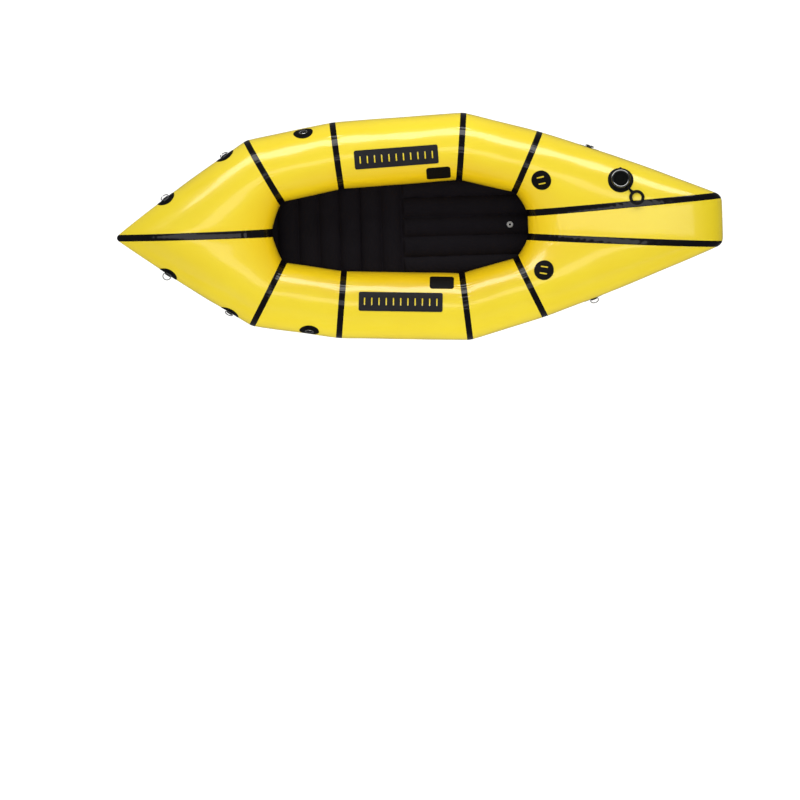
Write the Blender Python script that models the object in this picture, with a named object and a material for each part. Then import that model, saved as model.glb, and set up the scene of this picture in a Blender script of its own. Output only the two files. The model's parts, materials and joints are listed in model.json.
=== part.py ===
"""Self-bailing packraft: an inflated ring of welded panels with seam tapes, wear strips, floor, air mat and fittings.

The bow points along -X, the stern along +X, starboard is +Y and the raft stands on Z = 0. Lengths are in metres.
Every skin follows one surface: around the tube an angle runs from 0 at the outer side over 90 on top and 180 at
the cockpit to 270 underneath, and along the tube it runs straight from mitre to mitre, rounded at each seam.
"""

import math

import bmesh
import bpy
import numpy as np
from mathutils import Matrix, Vector
from mathutils.bvhtree import BVHTree

# Overall sizes of the inflated raft
HULL_LENGTH = 2.600
HULL_BEAM = 0.981
TUBE_HEIGHT = 0.290
COCKPIT_LENGTH = 1.100
COCKPIT_WIDTH = 0.400
COCKPIT_SETBACK = -0.085
STERN_END_WIDTH = 0.213
STERN_STRIP_WIDTH = 0.099

# Upsweep of the tube's centre above its height amidships
BOW_TIP_RISE = 0.155
BOW_INNER_RISE = 0.060
BOW_SHOULDER_RISE = 0.035
STERN_END_RISE = 0.120
STERN_INNER_RISE = 0.030
STERN_SHOULDER_RISE = 0.020

# Mitres of the tube, bow to stern: outer corners on the half length and beam, inner ones on the half cockpit
OUTER_CORNER_SHARES = ((-0.5642, 0.8155), (-0.2777, 0.9490), (0.1569, 1.0), (0.4069, 0.8135))
INNER_CORNER_SHARES = ((-0.9127, 0.6450), (-0.4455, 0.8800), (0.4745, 1.0), (0.9000, 0.7000))
BOW_BLUNT_SHARE = 0.3
STERN_BLUNT_SHARE = 1.0
SIDE_BULGE = 0.008
BELLY_BULGE = 0.022

# Fabrics and seams
HULL_WALL = 0.0010
SKIN = 0.0008
GAP = 0.0003
TAPE_WIDTH = 0.026
BOW_ROUND = 0.030
STERN_ROUND = 0.030

# Angles around the tube, in degrees
FLOOR_ANGLE = 240.0
FLAT_HALF_ANGLE = 6.0
TAPE_END_ANGLE = 2.5
WEAR_EDGE_PLACES = (0.0, 0.33, 0.67, 1.0, 2.0, 3.0, 4.0, 4.33, 4.67, 5.0)
WEAR_EDGE_ANGLES = (285.0, 307.0, 323.0, 311.0, 289.0, 290.0, 306.0, 302.0, 288.0, 285.0)
TOP_FACETS = 10
LOW_FACETS = 4

# Floor and air mat
FLOOR_THICKNESS = 0.0010
FLOOR_MARGIN = 0.010
FLOOR_CORNER_SHARE = 0.6
DRAIN_DIAMETER = 0.024
DRAIN_INSET = 0.030
DRAIN_SHARES = (0.035, 0.275, 0.50, 0.725, 0.965)
MAT_FRONT = -0.700
MAT_REAR = 0.515
MAT_SPLIT = -0.075
MAT_THICKNESS = 0.055
MAT_VALLEY_DEPTH = 0.014
MAT_EDGE_HEIGHT = 0.022
MAT_WALL = 0.0010
MAT_SIDE_CLEARANCE = 0.012
MAT_RIB_WIDTH = 0.086
MAT_CROSS_RIBS = 7

# Patches welded to the hull
LADDER_SHARE = 0.476
LADDER_ANGLE = 99.0
LADDER_LENGTH = 0.360
LADDER_WIDTH = 0.082
LADDER_CORNER = 0.008
LADDER_SLOTS = 11
LADDER_SLOT_PITCH = 0.031
LADDER_SLOT_LENGTH = 0.033
LADDER_SLOT_WIDTH = 0.006
BADGE_SHARE = 0.823
BADGE_ANGLE = 139.0
BADGE_LENGTH = 0.104
BADGE_WIDTH = 0.076
BADGE_CORNER = 0.012
ROUND_PATCH_FROM_COCKPIT = 0.062
ROUND_PATCH_FROM_CORNER = 0.052
ROUND_PATCH_DIAMETER = 0.086
ROUND_SLOT_PITCH = 0.029
RING_PATCH_DIAMETER = 0.085
PRISM_REACH = 0.025

# D-rings and their webbing loops
RING_WIRE = 0.004
RING_HALF_WIDTH = 0.017
RING_LEG = 0.007
RING_CORNER = 0.002
RING_PLAY = 0.0004
WEBBING_THICKNESS = 0.0015
WEBBING_WIDTH = 0.024
WEBBING_TAIL = 0.022

# Main valve
VALVE_FROM_STERN = 0.433
VALVE_FROM_SEAM = 0.108
VALVE_HOLE_PLAY = 0.004
VALVE_PATCH_DIAMETER = 0.110
FLANGE_DIAMETER = 0.084
FLANGE_LIP = 0.002
BODY_DIAMETER = 0.052
BORE_DIAMETER = 0.044
BODY_DEPTH = 0.034
COLLAR_HEIGHT = 0.012
PORT_PLATE = 0.002
PORT_DIAMETER = 0.009
PORT_CIRCLE_DIAMETER = 0.028
PORTS = 6
STEM_DIAMETER = 0.0042
FLAP_DIAMETER = 0.040
FLAP_THICKNESS = 0.0010
CAP_DIAMETER = 0.082
CAP_HEIGHT = 0.012
CAP_TOP = 0.0025
CAP_LUG_LENGTH = 0.010
CAP_LUG_WIDTH = 0.014
CAP_LUG_HOLE = 0.005
CAP_HINGE_LIFT = 0.002
THREAD_PLAY = 0.0005
LEASH_THICKNESS = 0.0025
LEASH_HEEL_SHARE = 0.3
LEASH_SHOULDER_WIDTH = 0.006
STRAP_WIDTH = 0.010
FINGER_RING_BEHIND_VALVE = 0.066
FINGER_RING_INSIDE_VALVE = 0.081
FINGER_RING_DIAMETER = 0.066
FINGER_HOLE_DIAMETER = 0.040

# Air mat's own valve
MAT_VALVE_X = 0.390
MAT_FLANGE_DIAMETER = 0.027
MAT_FLANGE_LIP = 0.0015
MAT_NECK_DIAMETER = 0.017
MAT_NECK_HEIGHT = 0.007
MAT_BORE_DIAMETER = 0.011
MAT_BODY_DEPTH = 0.012
MAT_CAP_DIAMETER = 0.021
MAT_CAP_HEIGHT = 0.008

HALF_LENGTH = HULL_LENGTH / 2
HALF_BEAM = HULL_BEAM / 2
TUBE_RADIUS = TUBE_HEIGHT / 2
TAPE_HALF = TAPE_WIDTH / 2
TAPE_FOLD_SHARE = 0.5
TAPE_FOLD = TAPE_HALF * TAPE_FOLD_SHARE
SKIN_OUT = GAP + SKIN
BASE_HEIGHT = (TUBE_RADIUS + SKIN_OUT) * math.cos(math.radians(FLAT_HALF_ANGLE))
BOW_CUT_SHARE = 0.41
BOW_POINT = -(HALF_LENGTH - SKIN_OUT + BOW_CUT_SHARE * BOW_ROUND)
STERN_POINT = HALF_LENGTH
COCKPIT_FRONT = COCKPIT_SETBACK - COCKPIT_LENGTH / 2
COCKPIT_REAR = COCKPIT_SETBACK + COCKPIT_LENGTH / 2
RISES = (BOW_SHOULDER_RISE, 0.0, 0.0, STERN_SHOULDER_RISE)
ROUND_PATCH_X = COCKPIT_REAR + ROUND_PATCH_FROM_COCKPIT
ROUND_PATCH_Y = INNER_CORNER_SHARES[-1][1] * COCKPIT_WIDTH / 2 + ROUND_PATCH_FROM_CORNER
VALVE_X = STERN_POINT - VALVE_FROM_STERN
VALVE_Y = (STERN_STRIP_WIDTH + STERN_END_WIDTH) / 4 + VALVE_FROM_SEAM
FINGER_RING_X = VALVE_X + FINGER_RING_BEHIND_VALVE
FINGER_RING_Y = VALVE_Y - FINGER_RING_INSIDE_VALVE
STATIONS = 11
STERN_STATION = 5
# Seam rounding at each station, the port side mirrored from starboard
CORNER_ROUND = [BOW_ROUND] + [TAPE_HALF] * 4 + [STERN_ROUND] * 2 + [TAPE_HALF] * 4

SIDE_NAMES = ("bow", "fore", "middle", "aft", "stern")
PANEL_NAMES = [f"{name}_panel_starboard" for name in SIDE_NAMES] + ["stern_deck_panel"]
PANEL_NAMES += [f"{name}_panel_port" for name in reversed(SIDE_NAMES)]
WEAR_STRIPS = (
    ("wear_strip_starboard", (0, 1, 2, 3, 4)),
    ("wear_strip_stern", (5,)),
    ("wear_strip_port", (6, 7, 8, 9, 10)),
)
TAPE_NAMES = ["bow_centre_tape"] + [f"{name}_tape_starboard" for name in ("bow", "fore", "aft", "stern", "stern_deck")]
TAPE_NAMES += [f"{name}_tape_port" for name in ("stern_deck", "stern", "aft", "fore", "bow")]

# Colour, roughness, metallic value
FINISHES = {
    "hull_fabric": ((0.93, 0.74, 0.03), 0.28, 0.0),
    "seam_tape": ((0.012, 0.012, 0.014), 0.18, 0.0),
    "wear_fabric": ((0.02, 0.02, 0.023), 0.45, 0.0),
    "floor_fabric": ((0.05, 0.05, 0.055), 0.40, 0.0),
    "mat_fabric": ((0.010, 0.010, 0.011), 0.80, 0.0),
    "patch_slate": ((0.030, 0.033, 0.040), 0.60, 0.0),
    "patch_black": ((0.012, 0.012, 0.013), 0.50, 0.0),
    "ring_steel": ((0.75, 0.75, 0.76), 0.22, 1.0),
    "valve_plastic": ((0.012, 0.012, 0.013), 0.30, 0.0),
    "valve_rubber": ((0.09, 0.09, 0.09), 0.55, 0.0),
    "mat_valve_plastic": ((0.42, 0.43, 0.45), 0.30, 0.3),
}


def unit(vector):
    return vector / np.linalg.norm(vector)


def plan(x, y, z=0.0):
    return np.array((x, y, z), float)


def end_profile(angle, inner_x, point_x, warp, blunt_share, rise_in, rise_out):
    """x, z and the share of the way out to the point, on the bow's or the stern's own section."""
    low = max(0.0, angle % (2 * math.pi) - math.pi)
    turned = angle + warp[0] * math.sin(low) + warp[1] * math.sin(2 * low)
    out, up = math.cos(turned), math.sin(turned)
    way = (1 + out) / 2
    height = abs(up)
    if out > 0:
        height = (1 - blunt_share) * up * up + blunt_share * abs(up)
    z = BASE_HEIGHT + rise_in + (rise_out - rise_in) * way * way + math.copysign(TUBE_RADIUS * height, up)
    return inner_x + (point_x - inner_x) * way, z, way


def section(station, angle):
    """Point of the sharp-cornered tube at a station, where the angle is in radians."""
    station %= STATIONS
    if station > STERN_STATION:
        return section(STATIONS - station, angle) * (1, -1, 1)
    if station == 0:
        warp = (math.radians(22.0), math.radians(12.6))
        x, z, _ = end_profile(angle, COCKPIT_FRONT, BOW_POINT, warp, BOW_BLUNT_SHARE, BOW_INNER_RISE, BOW_TIP_RISE)
        return plan(x, 0, z)
    if station == STERN_STATION:
        warp = (math.radians(1.6), math.radians(11.1))
        x, z, way = end_profile(
            angle, COCKPIT_REAR, STERN_POINT, warp, STERN_BLUNT_SHARE, STERN_INNER_RISE, STERN_END_RISE
        )
        return plan(x, (STERN_STRIP_WIDTH + (STERN_END_WIDTH - STERN_STRIP_WIDTH) * way) / 2, z)
    outer = OUTER_CORNER_SHARES[station - 1]
    inner = INNER_CORNER_SHARES[station - 1]
    outer = plan(outer[0] * HALF_LENGTH, outer[1] * HALF_BEAM)
    inner = plan(COCKPIT_SETBACK + inner[0] * COCKPIT_LENGTH / 2, inner[1] * COCKPIT_WIDTH / 2)
    middle = (outer + inner) / 2 + plan(0, 0, BASE_HEIGHT + RISES[station - 1])
    return middle + (outer - inner) / 2 * math.cos(angle) + plan(0, 0, TUBE_RADIUS * math.sin(angle))


def bulge(leg, angle, share):
    """How far the pressure swells the tapering bow and stern panels between their seams."""
    if leg not in (0, 4, 6, 10):
        return plan(0, 0)
    line = section(leg + 1, 0.0) - section(leg, 0.0)
    outward = unit(plan(-line[1], line[0]))
    amount = SIDE_BULGE + BELLY_BULGE * max(0.0, -math.sin(angle))
    return outward * amount * (4 * share * (1 - share)) ** 2


def tape_reach(station, along, distance):
    """Distance along a panel at which a tape's edge lies, so that the tape has its width square to the seam."""
    if distance > TAPE_HALF:
        return distance
    line = section(station, 0.0) - section(station, math.pi)
    return distance / abs(float(along @ unit(plan(-line[1], line[0]))))


def path_point(leg, angle, row):
    """Point and direction along the tube. A row is (start, share, end): a share of the way between two margins."""
    start, share, end = row
    first, last = section(leg, angle), section(leg + 1, angle)
    length = np.linalg.norm(last - first)
    along = (last - first) / length
    start, end = tape_reach(leg, along, start), tape_reach(leg + 1, along, end)
    run = start + share * (length - start - end)
    rounds = CORNER_ROUND[leg % STATIONS], CORNER_ROUND[(leg + 1) % STATIONS]
    point, tangent = first + run * along, along
    if run < rounds[0]:
        before = unit(section(leg - 1, angle) - first)
        t = (1 + run / rounds[0]) / 2
        point = first + rounds[0] * ((1 - t) ** 2 * before + t * t * along)
        tangent = t * along - (1 - t) * before
    elif length - run < rounds[1]:
        after = unit(section(leg + 2, angle) - last)
        t = (1 + (length - run) / rounds[1]) / 2
        point = last + rounds[1] * ((1 - t) ** 2 * after - t * t * along)
        tangent = t * along + (1 - t) * after
    return point + bulge(leg, angle, run / length), tangent


def skin_point(leg, degrees, row, offset):
    """Point at an offset outside the hull's surface, and the surface's outward normal there."""
    angle, step = math.radians(degrees), math.radians(0.5)
    point, tangent = path_point(leg, angle, row)
    around = path_point(leg, angle + step, row)[0] - path_point(leg, angle - step, row)[0]
    normal = unit(np.cross(around, tangent))
    return point + normal * offset, normal


def place_on_leg(leg, row):
    """The row's place along the side, counted in stations from the bow, alike on both sides."""
    length = np.linalg.norm(section(leg + 1, 0.0) - section(leg, 0.0))
    place = leg + (row[0] + row[1] * (length - row[0] - row[2])) / length
    return min(place, STATIONS - place)


def ring_angles(leg, row):
    """The angles of one row's corners, from the floor's weld round underneath, outside, top and cockpit side."""
    edge = float(np.interp(place_on_leg(leg, row), WEAR_EDGE_PLACES, WEAR_EDGE_ANGLES))
    flat = 270.0 - FLAT_HALF_ANGLE, 270.0 + FLAT_HALF_ANGLE
    angles = [FLOOR_ANGLE, (FLOOR_ANGLE + flat[0]) / 2, flat[0], flat[1], (flat[1] + edge) / 2, edge]
    angles += list(np.linspace(edge, 360.0, LOW_FACETS + 1)[1:])
    angles += list(np.linspace(360.0, 540.0, TOP_FACETS + 1)[1:])
    return angles + list(np.linspace(540.0, 360.0 + FLOOR_ANGLE, LOW_FACETS)[1:-1])


WEAR_EDGE_COLUMN = 5
EQUATOR_COLUMN = WEAR_EDGE_COLUMN + LOW_FACETS


def wear_angles(leg, row):
    """Columns of a wear strip, its inner edge drawn back so that the floor's edge lies beside it."""
    back = math.degrees((FLOOR_THICKNESS + GAP) / TUBE_RADIUS)
    angles = ring_angles(leg, row)[: WEAR_EDGE_COLUMN + 1]
    return [angles[0] + back] + angles[1:]


def tape_angles(leg, row):
    """Columns of a seam tape, which stops short of the wear strip and of the floor."""
    back = math.degrees(GAP / TUBE_RADIUS)
    angles = ring_angles(leg, row)[WEAR_EDGE_COLUMN:]
    return [angles[0] + back] + angles[1:] + [360.0 + FLOOR_ANGLE - TAPE_END_ANGLE]


def leg_rows(leg):
    """Rows of a panel from seam to seam: its two edges, the tape's edges, the end of the rounding, and the swell."""
    rounds = CORNER_ROUND[leg], CORNER_ROUND[(leg + 1) % STATIONS]
    rows = [(GAP / 2, 0, 0), (TAPE_HALF, 0, 0)]
    if rounds[0] > TAPE_HALF:
        rows[1:] = [(TAPE_FOLD, 0, 0), (TAPE_HALF, 0, 0), (rounds[0], 0, 0)]
    if leg in (0, 4, 6, 10):
        rows += [(rounds[0], 1 / 3, rounds[1]), (rounds[0], 2 / 3, rounds[1])]
    if rounds[1] > TAPE_HALF:
        rows += [(0, 1, rounds[1]), (0, 1, TAPE_HALF), (0, 1, TAPE_FOLD)]
    else:
        rows.append((0, 1, TAPE_HALF))
    return [(leg, row) for row in rows + [(0, 1, GAP / 2)]]


def tape_rows(station):
    """Rows of a seam tape: its edges, its middle on the seam, and a row between them where the seam is rounded."""
    reaches = [TAPE_HALF, TAPE_FOLD] if CORNER_ROUND[station] > TAPE_HALF else [TAPE_HALF]
    before = [((station - 1) % STATIONS, (0, 1, reach)) for reach in reaches]
    return before + [(station, (0, 0, 0))] + [(station, (reach, 0, 0)) for reach in reversed(reaches)]


def wear_rows(leg, first, last):
    """A wear strip's rows along one panel. Inside a strip they meet on the seam, and at its ends they keep the gap."""
    rows = leg_rows(leg)
    if not first:
        rows[0] = (leg, (0, 0, 0))
    return rows if last else rows[:-1]


def grid(places, columns, offset):
    return [[skin_point(leg, a, row, offset)[0] for a in columns(leg, row)] for leg, row in places]


def add_triangles(bm, corners, flip=False):
    """Two triangles for four corners, always split along the same diagonal so that nested skins stay parallel."""
    a, b, c, d = reversed(corners) if flip else corners
    if flip:
        a, b, c, d = b, c, d, a
    bm.faces.new((a, b, c))
    bm.faces.new((a, c, d))


def add_shell(bm, outer, inner, closed):
    """A thin body between two grids of the same rows and columns, which close into a ring or have side edges."""
    out = [[bm.verts.new(p) for p in row] for row in outer]
    ins = [[bm.verts.new(p) for p in row] for row in inner]
    rows, columns = len(out), len(out[0])
    for r in range(rows - 1):
        for c in range(columns if closed else columns - 1):
            n = (c + 1) % columns
            add_triangles(bm, (out[r][c], out[r][n], out[r + 1][n], out[r + 1][c]))
            add_triangles(bm, (ins[r][c], ins[r][n], ins[r + 1][n], ins[r + 1][c]), flip=True)
    for c in range(columns if closed else columns - 1):
        n = (c + 1) % columns
        add_triangles(bm, (ins[0][c], ins[0][n], out[0][n], out[0][c]))
        add_triangles(bm, (out[-1][c], out[-1][n], ins[-1][n], ins[-1][c]))
    if not closed:
        for r in range(rows - 1):
            add_triangles(bm, (out[r][0], out[r + 1][0], ins[r + 1][0], ins[r][0]))
            add_triangles(bm, (ins[r][-1], ins[r + 1][-1], out[r + 1][-1], out[r][-1]))


def material(name):
    found = bpy.data.materials.get(name)
    if found:
        return found
    colour, roughness, metallic = FINISHES[name]
    found = bpy.data.materials.new(name)
    found.use_nodes = True
    shader = found.node_tree.nodes["Principled BSDF"]
    shader.inputs["Base Color"].default_value = (*colour, 1)
    shader.inputs["Roughness"].default_value = roughness
    shader.inputs["Metallic"].default_value = metallic
    return found


def link(obj, finish, matrix=None):
    """Put an object in the scene with its finish. One without a finish is a helper that no render shows."""
    bpy.context.scene.collection.objects.link(obj)
    if matrix is not None:
        obj.matrix_world = matrix
    if finish:
        obj.data.materials.append(material(finish))
    else:
        obj.hide_render = True
        obj.display_type = "WIRE"
    return obj


def mesh_object(name, bm, finish=None, matrix=None, smooth=35.0):
    bmesh.ops.recalc_face_normals(bm, faces=bm.faces)
    mesh = bpy.data.meshes.new(name)
    bm.to_mesh(mesh)
    bm.free()
    mesh.shade_smooth()
    mesh.set_sharp_from_angle(angle=math.radians(smooth))
    return link(bpy.data.objects.new(name, mesh), finish, matrix)


def cut(obj, other, operation):
    modifier = obj.modifiers.new(f"{operation.lower()} {other.name}", "BOOLEAN")
    modifier.operation = operation
    modifier.solver = "EXACT"
    modifier.object = other


def add_plate(bm, outline, holes, low, high, matrix=None):
    """A flat plate between two heights, from an outline and its holes as lists of plane points."""
    matrix = matrix or Matrix()
    edges = []
    for loop in [outline, *holes]:
        verts = [bm.verts.new(matrix @ Vector((x, y, low))) for x, y in loop]
        edges += [bm.edges.new((a, b)) for a, b in zip(verts, verts[1:] + verts[:1])]
    faces = bmesh.ops.triangle_fill(bm, edges=edges, use_beauty=True)["geom"]
    faces = [face for face in faces if isinstance(face, bmesh.types.BMFace)]
    made = bmesh.ops.extrude_face_region(bm, geom=faces)["geom"]
    lift = matrix.to_3x3() @ Vector((0, 0, high - low))
    bmesh.ops.translate(bm, vec=lift, verts=[v for v in made if isinstance(v, bmesh.types.BMVert)])


def add_turned(bm, profile, segments, ring=False):
    """A body turned about Z from (radius, height) points. A ring's profile closes on itself off the axis."""
    rounds = []
    for radius, height in profile:
        if radius == 0:
            rounds.append([bm.verts.new((0, 0, height))])
            continue
        turns = [2 * math.pi * i / segments for i in range(segments)]
        rounds.append([bm.verts.new((radius * math.cos(t), radius * math.sin(t), height)) for t in turns])
    pairs = list(zip(rounds, rounds[1:] + rounds[:1]))
    for low, high in pairs if ring else pairs[:-1]:
        for i in range(segments):
            n = (i + 1) % segments
            corners = [low[i % len(low)], low[n % len(low)], high[n % len(high)], high[i % len(high)]]
            bm.faces.new(list(dict.fromkeys(corners)))


def circle(diameter, segments, x=0.0, y=0.0):
    turns = [2 * math.pi * i / segments for i in range(segments)]
    return [(x + diameter / 2 * math.cos(t), y + diameter / 2 * math.sin(t)) for t in turns]


def rounded_rectangle(length, width, corner, x=0.0, y=0.0, steps=3):
    """Outline points, or a plain rectangle's where the corner is zero."""
    points = []
    for index, (sx, sy) in enumerate(((1, 1), (-1, 1), (-1, -1), (1, -1))):
        centre = x + sx * (length / 2 - corner), y + sy * (width / 2 - corner)
        if corner == 0:
            points.append(centre)
            continue
        for step in range(steps + 1):
            turn = math.pi / 2 * (index + step / steps)
            points.append((centre[0] + corner * math.cos(turn), centre[1] + corner * math.sin(turn)))
    return points


def panel_shell(leg, inside, outside):
    bm = bmesh.new()
    add_shell(bm, grid(leg_rows(leg), ring_angles, outside), grid(leg_rows(leg), ring_angles, inside), closed=True)
    return bm


def build_hull():
    """Eleven panels round the raft, each with its wear strip underneath, and a tape over each seam."""
    panels = []
    for leg in range(STATIONS):
        panels.append(mesh_object(PANEL_NAMES[leg], panel_shell(leg, -HULL_WALL, 0.0), "hull_fabric"))
        bm = bmesh.new()
        rows = tape_rows(leg)
        add_shell(bm, grid(rows, tape_angles, SKIN_OUT), grid(rows, tape_angles, GAP), closed=False)
        mesh_object(TAPE_NAMES[leg], bm, "seam_tape")
    for name, legs in WEAR_STRIPS:
        rows = [row for leg in legs for row in wear_rows(leg, leg == legs[0], leg == legs[-1])]
        bm = bmesh.new()
        add_shell(bm, grid(rows, wear_angles, SKIN_OUT), grid(rows, wear_angles, GAP), closed=False)
        mesh_object(name, bm, "wear_fabric")
    return panels


def hull_tree(panels):
    points, faces = [], []
    for panel in panels:
        start = len(points)
        points += [vertex.co.copy() for vertex in panel.data.vertices]
        faces += [[start + v for v in face.vertices] for face in panel.data.polygons]
    return BVHTree.FromPolygons(points, faces)


def frame_at(point, normal, along):
    """A frame on the hull: Z outwards, X along the given direction, Y down the side."""
    z = Vector(normal).normalized()
    x = Vector(along)
    x = (x - z * x.dot(z)).normalized()
    frame = Matrix((x, z.cross(x), z)).transposed().to_4x4()
    frame.translation = Vector(point)
    return frame


def frame_on_side(tree, leg, share, degrees):
    point, normal = skin_point(leg, degrees, (0, share, 0), 0.0)
    _, along = path_point(leg, math.radians(degrees), (0, share, 0))
    start = Vector(point + normal * TUBE_RADIUS / 2)
    hit, facet_normal, _, _ = tree.ray_cast(start, Vector(-normal))
    return frame_at(hit, facet_normal, along)


def frame_from_above(tree, x, y, along=(1, 0, 0)):
    hit, facet_normal, _, _ = tree.ray_cast(Vector((x, y, HULL_LENGTH)), Vector((0, 0, -1)))
    return frame_at(hit, facet_normal, along)


def height_over_hull(tree, frame, x, y):
    """Height of the hull's skin in a frame, above the frame's own plane."""
    start = frame @ Vector((x, y, TUBE_RADIUS))
    hit = tree.ray_cast(start, -frame.col[2].to_3d())[0]
    return (frame.inverted() @ hit).z if hit else -TUBE_RADIUS


def mirrored(leg, share):
    """The same place on the port side."""
    return STATIONS - 1 - leg, 1 - share


def skins(name, legs, inside=GAP, outside=SKIN_OUT):
    """Helper: the layer of patches that lies over some of the panels."""
    bm = bmesh.new()
    for leg in legs:
        rows = leg_rows(leg)
        add_shell(bm, grid(rows, ring_angles, outside), grid(rows, ring_angles, inside), closed=True)
    return mesh_object(name, bm)


def build_patch(name, finish, layer, frame, outline, holes=()):
    """A patch cut from the layer over the hull."""
    bm = bmesh.new()
    add_plate(bm, outline, holes, -PRISM_REACH, PRISM_REACH, frame)
    patch = mesh_object(name, bm, finish)
    cut(patch, layer, "INTERSECT")
    return patch


def ladder_outline():
    first = -(LADDER_SLOTS - 1) / 2 * LADDER_SLOT_PITCH
    slots = [
        rounded_rectangle(LADDER_SLOT_WIDTH, LADDER_SLOT_LENGTH, 0, first + i * LADDER_SLOT_PITCH)
        for i in range(LADDER_SLOTS)
    ]
    return rounded_rectangle(LADDER_LENGTH, LADDER_WIDTH, LADDER_CORNER), slots


def build_side_patches(tree):
    """Ladder-slot patches and plain badges on the middle panels, round slotted patches on the stern panels."""
    ladder, ladder_slots = ladder_outline()
    badge = rounded_rectangle(BADGE_LENGTH, BADGE_WIDTH, BADGE_CORNER)
    round_slots = [
        rounded_rectangle(LADDER_SLOT_LENGTH, LADDER_SLOT_WIDTH, 0, 0, side * ROUND_SLOT_PITCH / 2)
        for side in (-1, 1)
    ]
    middle = skins("middle_patch_layer", (2, 8))
    stern = skins("stern_patch_layer", (4, 6))
    for side, port in (("starboard", False), ("port", True)):
        place = mirrored(2, LADDER_SHARE) if port else (2, LADDER_SHARE)
        frame = frame_on_side(tree, *place, LADDER_ANGLE)
        build_patch(f"ladder_patch_{side}", "patch_slate", middle, frame, ladder, ladder_slots)
        place = mirrored(2, BADGE_SHARE) if port else (2, BADGE_SHARE)
        frame = frame_on_side(tree, *place, BADGE_ANGLE)
        build_patch(f"badge_patch_{side}", "patch_black", middle, frame, badge)
        turn = Matrix.Rotation(math.radians(-12 if port else 14), 4, "Z")
        frame = frame_from_above(tree, ROUND_PATCH_X, -ROUND_PATCH_Y if port else ROUND_PATCH_Y)
        outline = circle(ROUND_PATCH_DIAMETER, 20)
        build_patch(f"strap_patch_{side}", "patch_black", stern, frame @ turn, outline, round_slots)


def ring_profile():
    """Centre line of a D-ring: its straight bar on X, two short legs, and the round end towards +Y."""
    bar = RING_HALF_WIDTH - RING_CORNER
    points = [(-bar, 0), (bar, 0), (RING_HALF_WIDTH, RING_CORNER)]
    for step in range(7):
        turn = math.pi * step / 6
        points.append((RING_HALF_WIDTH * math.cos(turn), RING_LEG + RING_HALF_WIDTH * math.sin(turn)))
    return points + [(-RING_HALF_WIDTH, RING_CORNER)]


def ring_curve():
    curve = bpy.data.curves.new("d_ring", "CURVE")
    curve.dimensions = "3D"
    curve.bevel_depth = RING_WIRE / 2
    curve.bevel_resolution = 1
    spline = curve.splines.new("POLY")
    points = ring_profile()
    spline.points.add(len(points) - 1)
    for target, (x, y) in zip(spline.points, points):
        target.co = (x, y, 0, 1)
    spline.use_cyclic_u = True
    curve.materials.append(material("ring_steel"))
    return curve


LOOP_INNER = RING_WIRE / 2 + RING_PLAY
LOOP_OUTER = LOOP_INNER + WEBBING_THICKNESS


def webbing_outline():
    """Side view of a webbing loop: the loop round the bar, drawn about its centre, and the tail welded flat."""
    tuck = math.asin((LOOP_OUTER - WEBBING_THICKNESS) / LOOP_OUTER)
    turns = np.linspace(-math.pi / 2, math.pi + tuck, 9)
    points = [(LOOP_OUTER * math.cos(t), LOOP_OUTER * math.sin(t)) for t in turns]
    tail = [(-WEBBING_TAIL, WEBBING_THICKNESS - LOOP_OUTER), (-WEBBING_TAIL, -LOOP_OUTER)]
    return points + tail, circle(2 * LOOP_INNER, 10)


# Name, leg, share along the leg, facet counted from the equator, whether the ring lies up the side, and how far the
# starboard and the port ring hang off the hull
RING_PLACES = (
    ("d_ring_side", 1, 0.651, 1, True, (8.0, 8.0)),
    ("d_ring_bow_rear", 0, 0.840, 0, False, (12.0, 16.0)),
    ("d_ring_bow_front", 0, 0.395, 0, False, (14.0, 55.0)),
    ("d_ring_stern_front", 4, 0.272, -1, False, (12.0, 50.0)),
    ("d_ring_stern_rear", 4, 0.780, -2, False, (12.0, 20.0)),
)


def facet_middle(leg, share, facet):
    angles = ring_angles(leg, (0, share, 0))
    first = EQUATOR_COLUMN + facet
    return (angles[first] + angles[first + 1]) / 2


def build_rings(tree):
    """Ten D-rings, each held by the webbing loop of its round patch, where the loop's axis is the ring's bar."""
    curve = ring_curve()
    outline, hole = webbing_outline()
    layer = skins("ring_patch_layer", (0, 1, 4, 6, 9, 10))
    for name, leg, share, facet, up, swings in RING_PLACES:
        degrees = facet_middle(leg, share, facet)
        sides = (("starboard", (leg, share), swings[0]), ("port", mirrored(leg, share), swings[1]))
        for side, place, swing in sides:
            frame = frame_on_side(tree, *place, degrees)
            if up:
                frame = frame @ Matrix.Rotation(math.pi, 4, "Z")
            label = f"{name}_{side}"
            patch = build_patch(
                label.replace("ring", "ring_patch"), "patch_black", layer, frame, circle(RING_PATCH_DIAMETER, 16)
            )
            spots = np.linspace(-1, 1, 9)
            seat = max(
                height_over_hull(tree, frame, u * WEBBING_WIDTH / 2, (v - 1) / 2 * WEBBING_TAIL)
                for u in spots for v in spots
            )
            bar = Matrix.Translation((0, 0, seat + 2 * GAP + LOOP_OUTER))
            # The side view's plane: its x runs up the frame's Y, its y outwards, and it is as deep as the webbing
            turn = Matrix(((0, 0, 1, 0), (1, 0, 0, 0), (0, 1, 0, 0), (0, 0, 0, 1)))
            loop = bmesh.new()
            add_plate(loop, outline, [hole], -WEBBING_WIDTH / 2, WEBBING_WIDTH / 2, frame @ bar @ turn)
            cut(patch, mesh_object(f"{label}_webbing", loop), "UNION")
            ring = bpy.data.objects.new(label, curve)
            bpy.context.scene.collection.objects.link(ring)
            ring.matrix_world = frame @ bar @ Matrix.Rotation(math.radians(swing), 4, "X")


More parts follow.
